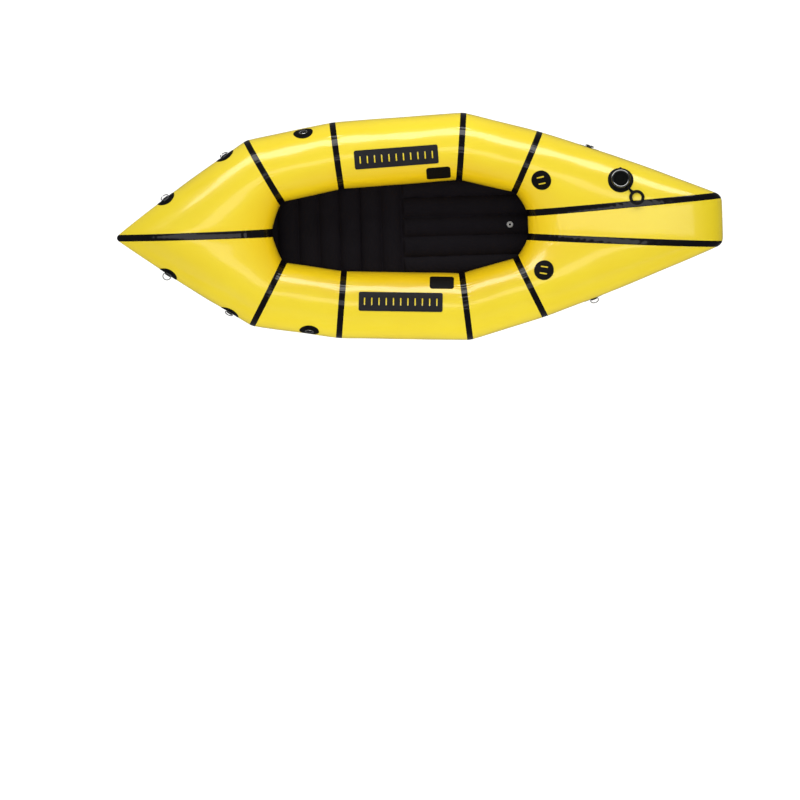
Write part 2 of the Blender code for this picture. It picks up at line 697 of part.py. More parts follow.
def turned_object(name, profile, segments, matrix, finish=None, ring=False, origin=(0, 0, 0)):
    """A turned body in a frame. The object's own origin may lie elsewhere in that frame, as on a hinge's axis."""
    bm = bmesh.new()
    add_turned(bm, profile, segments, ring)
    bmesh.ops.translate(bm, vec=-Vector(origin), verts=bm.verts)
    return mesh_object(name, bm, finish, matrix @ Matrix.Translation(origin))


def cylinder(radius, low, high):
    return [(0, low), (radius, low), (radius, high), (0, high)]


def build_valve(tree, panel):
    """Screw-cap valve: base through the hull, one-way flap, cap with a holed lug, and the leash with its ring."""
    frame = frame_from_above(tree, VALVE_X, VALVE_Y)
    rim = [height_over_hull(tree, frame, x, y) for x, y in circle(FLANGE_DIAMETER, 48)]
    inner = [height_over_hull(tree, frame, x, y) for x, y in circle(BODY_DIAMETER, 24)]
    sag, crown = -min(rim), max(rim + inner + [0.0])
    skirt = sag + SKIN_OUT + FLANGE_LIP
    top = crown + SKIN_OUT + GAP + FLANGE_LIP
    body, bore = BODY_DIAMETER / 2, BORE_DIAMETER / 2

    hole = turned_object("valve_hole", cylinder(body + VALVE_HOLE_PLAY, -PRISM_REACH, PRISM_REACH), 28, frame)
    cut(panel, hole, "DIFFERENCE")
    layer = skins("valve_patch_layer", (4,))
    outline = circle(VALVE_PATCH_DIAMETER, 28)
    build_patch("valve_patch", "patch_black", layer, frame, outline, [circle(2 * (body + GAP), 28)])

    base = turned_object("valve_base", cylinder(FLANGE_DIAMETER / 2, -skirt, top), 28, frame, "valve_plastic")
    under = skins("valve_seat_form", (4,), -(skirt + FLANGE_LIP), SKIN_OUT + GAP)
    cut(base, under, "DIFFERENCE")
    floor = -BODY_DEPTH
    collar = top + COLLAR_HEIGHT
    shoulder = body + LEASH_SHOULDER_WIDTH
    leash_low = top + GAP
    leash_top = leash_low + LEASH_THICKNESS
    body_profile = [
        (0, floor), (body, floor), (body, top - FLANGE_LIP), (shoulder, top - FLANGE_LIP),
        (shoulder, leash_top), (body, leash_top), (body, collar), (0, collar),
    ]
    cut(base, turned_object("valve_body_form", body_profile, 28, frame), "UNION")
    cap_out = CAP_DIAMETER / 2
    away, centre = leash_direction(tree, frame)
    pivot_reach = cap_out + LEASH_THICKNESS
    tongue_end = pivot_reach - LEASH_THICKNESS / 2 - GAP
    tongue = bmesh.new()
    half = STRAP_WIDTH / 2
    outline = [(body, -half), (tongue_end, -half), (tongue_end, half), (body, half)]
    add_plate(tongue, outline, [], leash_low, leash_top - GAP, frame @ away)
    cut(base, mesh_object("valve_tongue_form", tongue), "UNION")
    bore_profile = cylinder(bore, floor + PORT_PLATE, collar + FLANGE_LIP)
    cut(base, turned_object("valve_bore_form", bore_profile, 28, frame), "DIFFERENCE")
    ports = bmesh.new()
    spots = circle(PORT_CIRCLE_DIAMETER, PORTS)
    for x, y in spots:
        add_plate(ports, circle(PORT_DIAMETER, 8, x, y), [], floor - PORT_PLATE, floor + 2 * PORT_PLATE, frame)
    stem_hole = circle(STEM_DIAMETER + 2 * RING_PLAY, 8)
    add_plate(ports, stem_hole, [], floor - PORT_PLATE, floor + 2 * PORT_PLATE, frame)
    cut(base, mesh_object("valve_ports", ports), "DIFFERENCE")

    stem, flap = STEM_DIAMETER / 2, FLAP_DIAMETER / 2
    plate_top = floor + PORT_PLATE + GAP
    flap_top = floor - GAP
    flap_profile = [
        (0, flap_top - FLAP_THICKNESS), (flap, flap_top - FLAP_THICKNESS), (flap, flap_top), (stem, flap_top),
        (stem, plate_top), (2 * stem, plate_top), (stem, plate_top + stem), (0, plate_top + stem),
    ]
    turned_object("valve_membrane", flap_profile, 16, frame, "valve_rubber")

    thread = body + THREAD_PLAY
    skirt_low = leash_top + GAP
    cap_inside = collar + GAP
    cap_top = max(skirt_low + CAP_HEIGHT, cap_inside + CAP_TOP)
    cap_profile = [
        (0, cap_inside), (thread, cap_inside), (thread, skirt_low), (cap_out - CAP_TOP, skirt_low),
        (cap_out, skirt_low + CAP_TOP), (cap_out, cap_top - CAP_TOP), (cap_out - CAP_TOP, cap_top),
        (cap_out * 0.82, cap_top), (cap_out * 0.76, cap_top - CAP_TOP / 3), (0, cap_top - CAP_TOP / 3),
    ]
    up = frame.to_3x3().inverted() @ Vector((0, 1, 0))
    cap_frame = frame @ Matrix.Rotation(math.atan2(up.y, up.x), 4, "Z")
    reach = cap_out + CAP_LUG_LENGTH
    hinge = (reach, 0, skirt_low + CAP_HINGE_LIFT)
    cap = turned_object("valve_cap", cap_profile, 28, cap_frame, "valve_plastic", origin=hinge)
    lug = bmesh.new()
    outline = [(cap_out - 2 * CAP_TOP, -CAP_LUG_WIDTH / 2), (reach - CAP_LUG_WIDTH / 2, -CAP_LUG_WIDTH / 2)]
    for step in range(1, 6):
        turn = math.pi * (step / 6 - 0.5)
        outline.append(
            (reach - CAP_LUG_WIDTH / 2 * (1 - math.cos(turn)), CAP_LUG_WIDTH / 2 * math.sin(turn))
        )
    outline += [(reach - CAP_LUG_WIDTH / 2, CAP_LUG_WIDTH / 2), (cap_out - 2 * CAP_TOP, CAP_LUG_WIDTH / 2)]
    eye = circle(CAP_LUG_HOLE, 8, reach - CAP_LUG_WIDTH / 2)
    add_plate(lug, outline, [eye], cap_top - 2 * CAP_TOP, cap_top - CAP_TOP - GAP)
    cut(cap, mesh_object("valve_lug_form", lug, matrix=cap_frame), "UNION")

    build_leash(tree, frame @ away, pivot_reach, centre, leash_low)


def leash_direction(tree, frame):
    """Turn about the valve's axis towards the finger ring's place on the deck, and its distance."""
    target = frame.inverted() @ frame_from_above(tree, FINGER_RING_X, FINGER_RING_Y).translation
    return Matrix.Rotation(math.atan2(target.y, target.x), 4, "Z"), math.hypot(target.x, target.y)


def build_leash(tree, frame, start, distance, height):
    """Strap and finger ring: they pivot at the end of the valve's tongue and come to rest on the deck."""
    pivot = frame @ Matrix.Translation((start, 0, height + LEASH_THICKNESS / 2))
    ring, half = FINGER_RING_DIAMETER / 2, STRAP_WIDTH / 2
    centre = distance - start
    meet = math.asin(half / ring)
    turns = np.linspace(math.pi + meet, 3 * math.pi - meet, 24)
    heel = LEASH_HEEL_SHARE * LEASH_THICKNESS
    outline = [(-heel, half), (-heel, -half)]
    outline += [(centre + ring * math.cos(t), ring * math.sin(t)) for t in turns]
    hole = circle(FINGER_HOLE_DIAMETER, 20, centre)
    clear = SKIN_OUT + 2 * GAP + LEASH_THICKNESS / 2
    low, high = -math.pi / 4, math.pi / 4
    for _ in range(24):
        tilt = (low + high) / 2
        tilted = pivot @ Matrix.Rotation(tilt, 4, "Y")
        spots = circle(FINGER_RING_DIAMETER, 72, centre) + circle(FINGER_HOLE_DIAMETER, 48, centre)
        spots += [(centre * s / 12, half * w) for s in range(1, 9) for w in (-1, 0, 1)]
        room = min(-height_over_hull(tree, tilted, x, y) for x, y in spots)
        if room > clear:
            low = tilt
        else:
            high = tilt
    bm = bmesh.new()
    add_plate(bm, outline, [hole], -LEASH_THICKNESS / 2, LEASH_THICKNESS / 2)
    mesh_object("valve_leash", bm, "valve_rubber", pivot @ Matrix.Rotation(low, 4, "Y"))


def stitch(bm, first, second):
    """Triangles between two rows of (place, vertex) that run side by side."""
    i = j = 0
    while i < len(first) - 1 or j < len(second) - 1:
        if j == len(second) - 1 or (i < len(first) - 1 and first[i + 1][0] <= second[j + 1][0]):
            bm.faces.new((first[i][1], first[i + 1][1], second[j][1]))
            i += 1
        else:
            bm.faces.new((first[i][1], second[j + 1][1], second[j][1]))
            j += 1


def build_floor():
    """The floor sheet, welded along the tube's underside, flat under the mat, with drain holes along both sides."""
    rim = []
    for leg in range(STATIONS):
        rows = [(0, 0, 0), (TAPE_HALF, 0, 0)]
        if leg in (0, 4, 6, 10):
            rows += [(TAPE_HALF, share, TAPE_HALF) for share in (1 / 3, 2 / 3)]
        rows = rows + [(0, 1, TAPE_HALF)]
        rim += [(leg + i / len(rows), skin_point(leg, FLOOR_ANGLE, row, 2 * GAP)[0]) for i, row in enumerate(rows)]
    level = min(point[2] for _, point in rim)
    outline = mat_outline()
    side = [(station, x, half + FLOOR_MARGIN) for station, (x, half) in enumerate(outline[1:-1], 1)]
    front = outline[0][0] - FLOOR_MARGIN
    side = [(0, front, 0.0), (FLOOR_CORNER_SHARE, front, outline[0][1]), *side]
    side.append((STERN_STATION, outline[-1][0] + FLOOR_MARGIN, outline[-1][1]))
    flat = [(place, (x, y, level)) for place, x, y in side]
    flat += [(STATIONS - place, (x, -y, level)) for place, x, y in reversed(side[1:])]
    bm = bmesh.new()
    loops = []
    for loop in (rim, flat):
        made = [(place, bm.verts.new(point)) for place, point in loop]
        loops.append([*made, (STATIONS, made[0][1])])
    stitch(bm, *loops)
    verts = [vert for _, vert in loops[1]]
    edges = [bm.edges.get(pair) for pair in zip(verts, verts[1:])]
    bmesh.ops.triangle_fill(bm, edges=edges, normal=(0, 0, 1))
    bmesh.ops.recalc_face_normals(bm, faces=bm.faces)
    made = bmesh.ops.extrude_face_region(bm, geom=list(bm.faces), use_keep_orig=True)["geom"]
    bmesh.ops.translate(
        bm, vec=(0, 0, -FLOOR_THICKNESS), verts=[v for v in made if isinstance(v, bmesh.types.BMVert)]
    )
    sheet = mesh_object("floor_sheet", bm, "floor_fabric")
    drains = bmesh.new()
    for leg in (2, 8):
        for share in DRAIN_SHARES:
            edge = path_point(leg, math.radians(FLOOR_ANGLE), (0, share, 0))[0]
            y = math.copysign(abs(edge[1]) - DRAIN_INSET, edge[1])
            low, high = edge[2] - DRAIN_DIAMETER / 2, edge[2] + DRAIN_DIAMETER / 2
            add_plate(drains, circle(DRAIN_DIAMETER, 12, edge[0], y), [], low, high)
    cut(sheet, mesh_object("drain_holes", drains), "DIFFERENCE")
    return level


def mat_outline():
    """Half widths of the mat from front to rear, drawn in from the tube's lower inner side."""
    corners = [section(station, math.radians(FLOOR_ANGLE - 18.0)) for station in (1, 2, 3, 4)]
    points = [(c[0], c[1] - MAT_SIDE_CLEARANCE) for c in corners]
    front = (MAT_FRONT, points[0][1] * 0.68)
    rear = (MAT_REAR, points[-1][1] * 0.55)
    return [front, *points, rear]


RIB_SHARES = (0.0, 0.15, 0.34, 0.66, 0.85)
RIB_LIFT_SHARES = (0.0, 0.72, 1.0, 1.0, 0.72)


def build_mat(level):
    """The air mat: cross ribs in front, ribs along it behind, drawn in round its edge, with a hole for its valve."""
    outline = mat_outline()
    cross_pitch = (MAT_SPLIT - MAT_FRONT) / MAT_CROSS_RIBS
    xs, lifts = [], []
    for rib in range(MAT_CROSS_RIBS):
        xs += [MAT_FRONT + (rib + share) * cross_pitch for share in RIB_SHARES]
        lifts += RIB_LIFT_SHARES
    rear_xs = list(np.linspace(MAT_SPLIT, MAT_REAR, 9))
    inner_ys = [0.17, 0.35, 0.5, 0.65, 0.83, 1.0, 1.15, 1.35, 1.5]
    ys = np.array([share * MAT_RIB_WIDTH for share in inner_ys])
    lift_across = np.array([1.0, 0.72, 0.0, 0.72, 1.0, 1.0, 1.0, 0.72, 0.0])
    limits = np.linspace(0.10, 0.84, len(ys))

    def crown(x, share):
        """Thickness share from the mat's edges: full inside, drawn in towards sides and ends."""
        end = min(x - MAT_FRONT, MAT_REAR - x) / (cross_pitch / 2)
        return min(1.0, max(0.0, end)) ** 0.5 * (1.0 if share < 0.9 else 0.62 if share < 0.99 else 0.0)

    def column_shares(half):
        shares = np.minimum(ys / half, limits)
        return [float(s) for s in shares] + [0.93, 1.0]

    lifts_across = [float(v) for v in lift_across] + [0.0, 0.0]
    rows = []
    for index, x in enumerate(xs + rear_xs):
        half = float(np.interp(x, [p[0] for p in outline], [p[1] for p in outline]))
        shares = column_shares(half)
        row = []
        for share, across in zip(shares, lifts_across):
            lift = lifts[index] if index < len(xs) else across
            full = MAT_THICKNESS - MAT_VALLEY_DEPTH * (1 - lift)
            z = MAT_EDGE_HEIGHT + (full - MAT_EDGE_HEIGHT) * crown(x, share)
            row.append((x, half * share, z))
        rows.append([(px, -py, pz) for px, py, pz in reversed(row)] + row)

    def layer(inset, drop):
        base = level + GAP
        middle = (MAT_FRONT + MAT_REAR) / 2
        half_run = (MAT_REAR - MAT_FRONT) / 2
        made = []
        for row in rows:
            widest = row[-1][1]
            made.append([
                (middle + (px - middle) * (1 - inset / half_run), py * (1 - inset / widest), base + pz - drop)
                for px, py, pz in row
            ])
        return made

    bm = bmesh.new()
    add_cushion(bm, layer(0.0, 0.0), level + GAP)
    mat = mesh_object("floor_mat", bm, "mat_fabric", smooth=60.0)
    space = bmesh.new()
    add_cushion(space, layer(2 * MAT_WALL, MAT_WALL), level + GAP + MAT_WALL)
    cut(mat, mesh_object("mat_air_space", space), "DIFFERENCE")
    hole_x = MAT_VALVE_X
    top = level + GAP + MAT_THICKNESS
    matrix = Matrix.Translation((hole_x, 0, top))
    neck = MAT_NECK_DIAMETER / 2
    profile = cylinder(neck + GAP, -MAT_WALL * 3, MAT_WALL * 3)
    cut(mat, turned_object("mat_valve_hole", profile, 16, matrix), "DIFFERENCE")
    build_mat_valve(matrix, neck)


def add_cushion(bm, rows, bottom):
    """A closed body under a grid of points, its sides going straight down and its underside flat."""
    top = [[bm.verts.new(p) for p in row] for row in rows]
    low = [[bm.verts.new((row[c][0], row[c][1], bottom)) for c in (0, -1)] for row in rows]
    for r in range(len(rows) - 1):
        for c in range(len(rows[0]) - 1):
            add_triangles(bm, (top[r][c], top[r][c + 1], top[r + 1][c + 1], top[r + 1][c]))
        add_triangles(bm, (low[r][0], low[r][1], low[r + 1][1], low[r + 1][0]))
        add_triangles(bm, (low[r][0], top[r][0], top[r + 1][0], low[r + 1][0]))
        add_triangles(bm, (top[r][-1], low[r][1], low[r + 1][1], top[r + 1][-1]))
    for r in (0, -1):
        bm.faces.new([*top[r], low[r][1], low[r][0]])


def build_mat_valve(matrix, neck):
    """Small twist valve: a flanged neck through the mat's skin, and its cap."""
    lip, bore = MAT_FLANGE_LIP + GAP, MAT_BORE_DIAMETER / 2
    high = lip + MAT_NECK_HEIGHT
    profile = [
        (bore, -MAT_BODY_DEPTH), (neck, -MAT_BODY_DEPTH), (neck, GAP), (MAT_FLANGE_DIAMETER / 2, GAP),
        (MAT_FLANGE_DIAMETER / 2, lip), (neck, lip), (neck, high), (bore, high),
    ]
    turned_object("mat_valve_base", profile, 16, matrix, "mat_valve_plastic", ring=True)
    thread = neck + GAP
    cap_out = MAT_CAP_DIAMETER / 2
    low = lip + GAP
    inside = high + GAP
    cap_top = low + MAT_CAP_HEIGHT + MAT_FLANGE_LIP
    cap = [
        (0, inside), (thread, inside), (thread, low), (cap_out, low),
        (cap_out, cap_top - MAT_FLANGE_LIP / 2), (cap_out - MAT_FLANGE_LIP / 2, cap_top), (0, cap_top),
    ]
    turned_object("mat_valve_cap", cap, 16, matrix, "mat_valve_plastic")


def build():
    for obj in list(bpy.data.objects):
        bpy.data.objects.remove(obj, do_unlink=True)
    panels = build_hull()
    tree = hull_tree(panels)
    level = build_floor()
    build_mat(level)
    build_side_patches(tree)
    build_rings(tree)
    build_valve(tree, panels[4])


build()
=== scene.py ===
"""Inflatable packraft in yellow coated fabric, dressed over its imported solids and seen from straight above."""

import math

import bmesh
import bpy
import numpy as np
from mathutils import Matrix, Vector
from mathutils.bvhtree import BVHTree
from mathutils.geometry import delaunay_2d_cdt
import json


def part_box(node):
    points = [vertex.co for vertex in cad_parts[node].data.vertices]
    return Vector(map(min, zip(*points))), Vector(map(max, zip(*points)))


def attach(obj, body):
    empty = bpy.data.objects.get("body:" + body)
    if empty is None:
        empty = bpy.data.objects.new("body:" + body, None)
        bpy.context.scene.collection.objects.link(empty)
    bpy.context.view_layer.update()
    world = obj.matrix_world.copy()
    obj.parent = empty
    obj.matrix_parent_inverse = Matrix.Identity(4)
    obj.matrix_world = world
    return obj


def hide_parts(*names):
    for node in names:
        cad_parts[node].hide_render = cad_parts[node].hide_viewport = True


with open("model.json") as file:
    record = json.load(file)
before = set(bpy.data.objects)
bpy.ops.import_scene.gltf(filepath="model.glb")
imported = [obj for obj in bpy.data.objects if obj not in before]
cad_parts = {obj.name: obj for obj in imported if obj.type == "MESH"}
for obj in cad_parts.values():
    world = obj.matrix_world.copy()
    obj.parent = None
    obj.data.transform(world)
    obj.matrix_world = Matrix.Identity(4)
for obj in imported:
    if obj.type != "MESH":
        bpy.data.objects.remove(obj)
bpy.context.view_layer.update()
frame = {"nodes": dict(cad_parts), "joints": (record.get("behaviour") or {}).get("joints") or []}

# Each moving node's pivot, axis and lowest angle
HINGES = {
    joint["child"]: (Vector(joint["pos_m"]), Vector(joint["axis"]).normalized(), joint["range_deg"][0])
    for joint in frame["joints"]
}

# Hull sizes, in metres, as the solids have them
HULL_LENGTH = 2.600
HULL_BEAM = 0.981
TUBE_RADIUS = 0.145
COCKPIT_LENGTH = 1.100
COCKPIT_WIDTH = 0.400
COCKPIT_SETBACK = -0.085
STERN_END_WIDTH = 0.213
STERN_STRIP_WIDTH = 0.099
BOW_TIP_RISE, BOW_INNER_RISE, BOW_SHOULDER_RISE = 0.155, 0.060, 0.035
STERN_END_RISE, STERN_INNER_RISE, STERN_SHOULDER_RISE = 0.120, 0.030, 0.020
OUTER_CORNER_SHARES = ((-0.5642, 0.8155), (-0.2777, 0.9490), (0.1569, 1.0), (0.4069, 0.8135))
INNER_CORNER_SHARES = ((-0.9127, 0.6450), (-0.4455, 0.8800), (0.4745, 1.0), (0.9000, 0.7000))
BOW_BLUNT_SHARE, STERN_BLUNT_SHARE = 0.3, 1.0
BOW_WARP, STERN_WARP = (22.0, 12.6), (1.6, 11.1)
SIDE_BULGE, BELLY_BULGE = 0.008, 0.022
SKIN_OUT = 0.0011
TAPE_HALF = 0.013
BOW_ROUND = STERN_ROUND = 0.030
FLOOR_ANGLE = 240.0
WEAR_EDGE_PLACES = (0.0, 0.33, 0.67, 1.0, 2.0, 3.0, 4.0, 4.33, 4.67, 5.0)
WEAR_EDGE_ANGLES = (285.0, 307.0, 323.0, 311.0, 289.0, 290.0, 306.0, 302.0, 288.0, 285.0)

BASE_HEIGHT = (TUBE_RADIUS + SKIN_OUT) * math.cos(math.radians(6.0))
BOW_POINT = -(HULL_LENGTH / 2 - SKIN_OUT + 0.41 * BOW_ROUND)
STERN_POINT = HULL_LENGTH / 2
COCKPIT_FRONT = COCKPIT_SETBACK - COCKPIT_LENGTH / 2
COCKPIT_REAR = COCKPIT_SETBACK + COCKPIT_LENGTH / 2
RISES = (BOW_SHOULDER_RISE, 0.0, 0.0, STERN_SHOULDER_RISE)
STATIONS = 11
STERN_STATION = 5
SWELLING_LEGS = (0, 4, 6, 10)
CORNER_ROUND = [BOW_ROUND] + [TAPE_HALF] * 4 + [STERN_ROUND] * 2 + [TAPE_HALF] * 4

# Layers over the smooth skin, which runs midway between the flats and the corners of the solid tube
SKIN_INSET = 0.0008
LAYER_LOW = 0.0001
LAYER_TOP = 0.0008
WEAR_TOP = 0.0006
WEAR_BUMP = 0.0013

# Puckers where the welded tapes gather the fabric
PUCKER_COUNTS = (37, 53, 71, 89)
SLACK_WAVES = ((4, 9, 1.0), (7, -17, 1.0), (11, 31, 0.6))
PUCKER_HEIGHT = 0.00055
PUCKER_REACH = 0.016
SEAM_PINCH = 0.0016
SEAM_PINCH_REACH = 0.026
SLACK_HEIGHT = 0.0003

# The raft's place in the picture
CAMERA_DISTANCE = 40.0
PICTURE_WIDTH = 3.44
PICTURE_PIXELS = 800
PIXEL_SIZE = 0.0043
RAFT_CENTRE_PIXEL = (419.5, 227.75)
RAFT_ROLL = 1.757
CAMERA_TILT = 3.0
CAMERA_AIM_HEIGHT = 0.145

SIDE_NAMES = ("bow", "fore", "middle", "aft", "stern")
PANEL_NAMES = [f"{name}_panel_starboard" for name in SIDE_NAMES] + ["stern_deck_panel"]
PANEL_NAMES += [f"{name}_panel_port" for name in reversed(SIDE_NAMES)]
TAPE_PLACES = ("bow", "fore", "aft", "stern", "stern_deck")
TAPE_NAMES = ["bow_centre_tape"] + [f"{place}_tape_starboard" for place in TAPE_PLACES]
TAPE_NAMES += [f"{place}_tape_port" for place in reversed(TAPE_PLACES)]


class Wire:
    """A value in a material. Sums written on it become the material's nodes."""

    def __init__(self, finish, socket):
        self.finish = finish
        self.socket = socket

    def math(self, operation, other):
        return self.finish.add("ShaderNodeMath", {"operation": operation}, [self, other])

    def __add__(self, other):
        return self.math("ADD", other)

    def __mul__(self, other):
        return self.math("MULTIPLY", other)

    __radd__ = __add__
    __rmul__ = __mul__

    def between(self, low, high):
        """0 below low, 1 above high, smooth in between."""
        values = {"Value": self, "From Min": low, "From Max": high}
        return self.finish.add("ShaderNodeMapRange", {"interpolation_type": "SMOOTHSTEP"}, values)


class Finish:
    """A material and the nodes that make it."""

    def __init__(self, name, **sockets):
        self.material = bpy.data.materials.new(name)
        self.material.use_nodes = True
        self.tree = self.material.node_tree
        self.shader = self.tree.nodes["Principled BSDF"]
        for socket, value in sockets.items():
            self.shader.inputs[socket.replace("_", " ")].default_value = value

    def add(self, kind, settings=None, values=(), out=0):
        node = self.tree.nodes.new(kind)
        for name, value in (settings or {}).items():
            setattr(node, name, value)
        for key, value in values.items() if isinstance(values, dict) else enumerate(values):
            if isinstance(value, Wire):
                self.tree.links.new(value.socket, node.inputs[key])
            else:
                node.inputs[key].default_value = value
        return Wire(self, node.outputs[out])

    def place(self):
        """Where a point lies on the object, in metres."""
        return self.add("ShaderNodeTexCoord", out=3)

    def cloth(self):
        """Where a point lies on the piece's own cloth, in metres along and across it."""
        return self.add("ShaderNodeUVMap", {"uv_map": "cloth"})

    def inward(self):
        """How far a face looks in towards the cockpit: 1 squarely at it, -1 squarely away."""
        inwards = self.vectors("MULTIPLY", self.place(), (-1.0, -1.0, 0.0))
        normal = self.add("ShaderNodeNewGeometry", out=1)
        return self.vectors("DOT_PRODUCT", self.vectors("NORMALIZE", inwards), normal, out=1)

    def vectors(self, operation, *values, out=0):
        return self.add("ShaderNodeVectorMath", {"operation": operation}, values, out)

    def stretched(self, vector, scale):
        return self.add("ShaderNodeMapping", values={"Vector": vector, "Scale": scale})

    def noise(self, vector, scale, detail=3.0, roughness=0.5):
        values = {"Vector": vector, "Scale": scale, "Detail": detail, "Roughness": roughness}
        return self.add("ShaderNodeTexNoise", values=values)

    def waves(self, vector, scale, direction):
        values = {"Vector": vector, "Scale": scale}
        return self.add("ShaderNodeTexWave", {"bands_direction": direction}, values)

    def mix(self, first, second, factor):
        first, second = (value if isinstance(value, Wire) else (*value, 1) for value in (first, second))
        return self.add("ShaderNodeMix", {"data_type": "RGBA"}, {0: factor, 6: first, 7: second}, 2)

    def bump(self, height, distance, strength=1.0, under=None):
        values = {"Strength": strength, "Distance": distance, "Height": height}
        if under:
            values["Normal"] = under
        return self.add("ShaderNodeBump", values=values)

    def paint(self, **wires):
        for socket, wire in wires.items():
            self.tree.links.new(wire.socket, self.shader.inputs[socket.replace("_", " ")])
        return self.material


def unit(vectors):
    return vectors / np.linalg.norm(vectors, axis=-1, keepdims=True)


def points_at(x, y, z):
    return np.stack(np.broadcast_arrays(x, y, z), axis=-1).astype(float)


def end_profile(turns, inner_x, point_x, warp, blunt_share, rise_in, rise_out):
    """x, z and the share of the way out to the point, round the bow's or the stern's own section."""
    low = np.maximum(0.0, turns % (2 * math.pi) - math.pi)
    turned = turns + math.radians(warp[0]) * np.sin(low) + math.radians(warp[1]) * np.sin(2 * low)
    out, up = np.cos(turned), np.sin(turned)
    way = (1 + out) / 2
    height = np.where(out > 0, (1 - blunt_share) * up * up + blunt_share * np.abs(up), np.abs(up))
    z = BASE_HEIGHT + rise_in + (rise_out - rise_in) * way * way + np.copysign(TUBE_RADIUS * height, up)
    return inner_x + (point_x - inner_x) * way, z, way


def section(station, turns):
    """The sharp-cornered tube's outline at a station."""
    station %= STATIONS
    if station > STERN_STATION:
        return section(STATIONS - station, turns) * (1, -1, 1)
    if station == 0:
        x, z, _ = end_profile(
            turns, COCKPIT_FRONT, BOW_POINT, BOW_WARP, BOW_BLUNT_SHARE, BOW_INNER_RISE, BOW_TIP_RISE
        )
        return points_at(x, 0.0, z)
    if station == STERN_STATION:
        x, z, way = end_profile(
            turns, COCKPIT_REAR, STERN_POINT, STERN_WARP, STERN_BLUNT_SHARE, STERN_INNER_RISE, STERN_END_RISE
        )
        return points_at(x, (STERN_STRIP_WIDTH + (STERN_END_WIDTH - STERN_STRIP_WIDTH) * way) / 2, z)
    outer, inner = OUTER_CORNER_SHARES[station - 1], INNER_CORNER_SHARES[station - 1]
    outer = np.array((outer[0] * HULL_LENGTH / 2, outer[1] * HULL_BEAM / 2, 0.0))
    inner = np.array((COCKPIT_SETBACK + inner[0] * COCKPIT_LENGTH / 2, inner[1] * COCKPIT_WIDTH / 2, 0.0))
    middle = (outer + inner) / 2 + (0, 0, BASE_HEIGHT + RISES[station - 1])
    round_it = points_at(0.0, 0.0, TUBE_RADIUS * np.sin(turns))
    return middle + (outer - inner) / 2 * np.cos(turns)[..., None] + round_it


def swell(share):
    """How a tapering panel fills out between its seams."""
    window = np.minimum(0.09, np.minimum(share, 1 - share))
    nodes, amounts = (0.0, 1 / 3, 2 / 3, 1.0), (0.0, 0.79, 0.79, 0.0)
    around = [np.interp(share + step * window, nodes, amounts) for step in (-1.0, -0.5, 0.0, 0.5, 1.0)]
    return sum(around) / len(around)


def seam_slant(station, along):
    """How much longer the way along a panel is than the way square to its seam."""
    line = section(station, np.zeros(1)) - section(station, np.full(1, math.pi))
    return 1 / np.abs((along * unit(points_at(-line[:, 1], line[:, 0], 0.0))).sum(-1, keepdims=True))


def bare_path(leg, turns, row):
    """Points along the tube on one row, their direction, and their distances from the leg's two seams."""
    start, share, end = row
    first, last = section(leg, turns), section(leg + 1, turns)
    length = np.linalg.norm(last - first, axis=-1, keepdims=True)
    along = (last - first) / length
    slants = [TAPE_HALF * (seam_slant(station, along) - 1) for station in (leg, leg + 1)]
    start, end = (d + extra * min(1.0, d / TAPE_HALF) for d, extra in zip((start, end), slants))
    run = start + share * (length - start - end)
    left = length - run
    rounds = CORNER_ROUND[leg % STATIONS], CORNER_ROUND[(leg + 1) % STATIONS]
    before = unit(section(leg - 1, turns) - first)
    after = unit(section(leg + 2, turns) - last)
    t, s = (1 + run / rounds[0]) / 2, (1 + left / rounds[1]) / 2
    near_first, near_last = run < rounds[0], left < rounds[1]
    bend = rounds[0] * ((1 - t) ** 2 * before + t * t * along)
    point = np.where(near_first, first + bend, first + run * along)
    point = np.where(near_last, last + rounds[1] * ((1 - s) ** 2 * after - s * s * along), point)
    tangent = np.where(near_first, t * along - (1 - t) * before, along)
    tangent = np.where(near_last, s * along + (1 - s) * after, tangent)
    if leg % STATIONS in SWELLING_LEGS:
        line = section(leg + 1, np.zeros(1)) - section(leg, np.zeros(1))
        outward = unit(points_at(-line[:, 1], line[:, 0], 0.0))
        amount = SIDE_BULGE + BELLY_BULGE * np.maximum(0.0, -np.sin(turns))
        point = point + outward * (amount[..., None] * swell(run / length))
    square = [
        np.maximum(d / (1 + extra / TAPE_HALF), d - extra)[..., 0]
        for d, extra in zip((run, left), slants)
    ]
    return point, tangent, *square


PUCKER_PHASES = np.random.default_rng(7).uniform(0, 2 * math.pi, (STATIONS, len(PUCKER_COUNTS), 2))
SLACK_PHASES = np.random.default_rng(11).uniform(0, 2 * math.pi, (STATIONS, 4))


def pucker(station, turns, distance):
    """Height of the small gathers beside one seam, most of all where the tube bends inwards."""
    station %= STATIONS
    waves = 0.0
    for count, (phase, sway) in zip(PUCKER_COUNTS, PUCKER_PHASES[station]):
        waves = waves + np.sin(count * turns + phase + 14.0 * distance) * (0.6 + 0.4 * np.sin(3 * turns + sway))
    inner_side = 1.0 + 0.8 * np.maximum(0.0, -np.cos(turns))
    reach = np.exp(-np.maximum(0.0, distance - TAPE_HALF) / PUCKER_REACH)
    under_tape = np.where(distance < TAPE_HALF, 0.65, 1.0)
    return PUCKER_HEIGHT * 0.55 * waves * inner_side * reach * under_tape


# Under its ring patches the tube is a little flat, by so many metres at the ring's bar
RING_FLAT_DEPTHS = {
    "d_ring_bow_rear_port": 0.0020, "d_ring_bow_rear_starboard": 0.0007,
    "d_ring_side_port": 0.0013, "d_ring_side_starboard": 0.0003,
    "d_ring_stern_rear_port": 0.0049, "d_ring_stern_rear_starboard": 0.0011,
}
RING_FLAT_REACH = 0.075
RING_FLATS = [(np.array(HINGES[name][0]), depth) for name, depth in RING_FLAT_DEPTHS.items()]


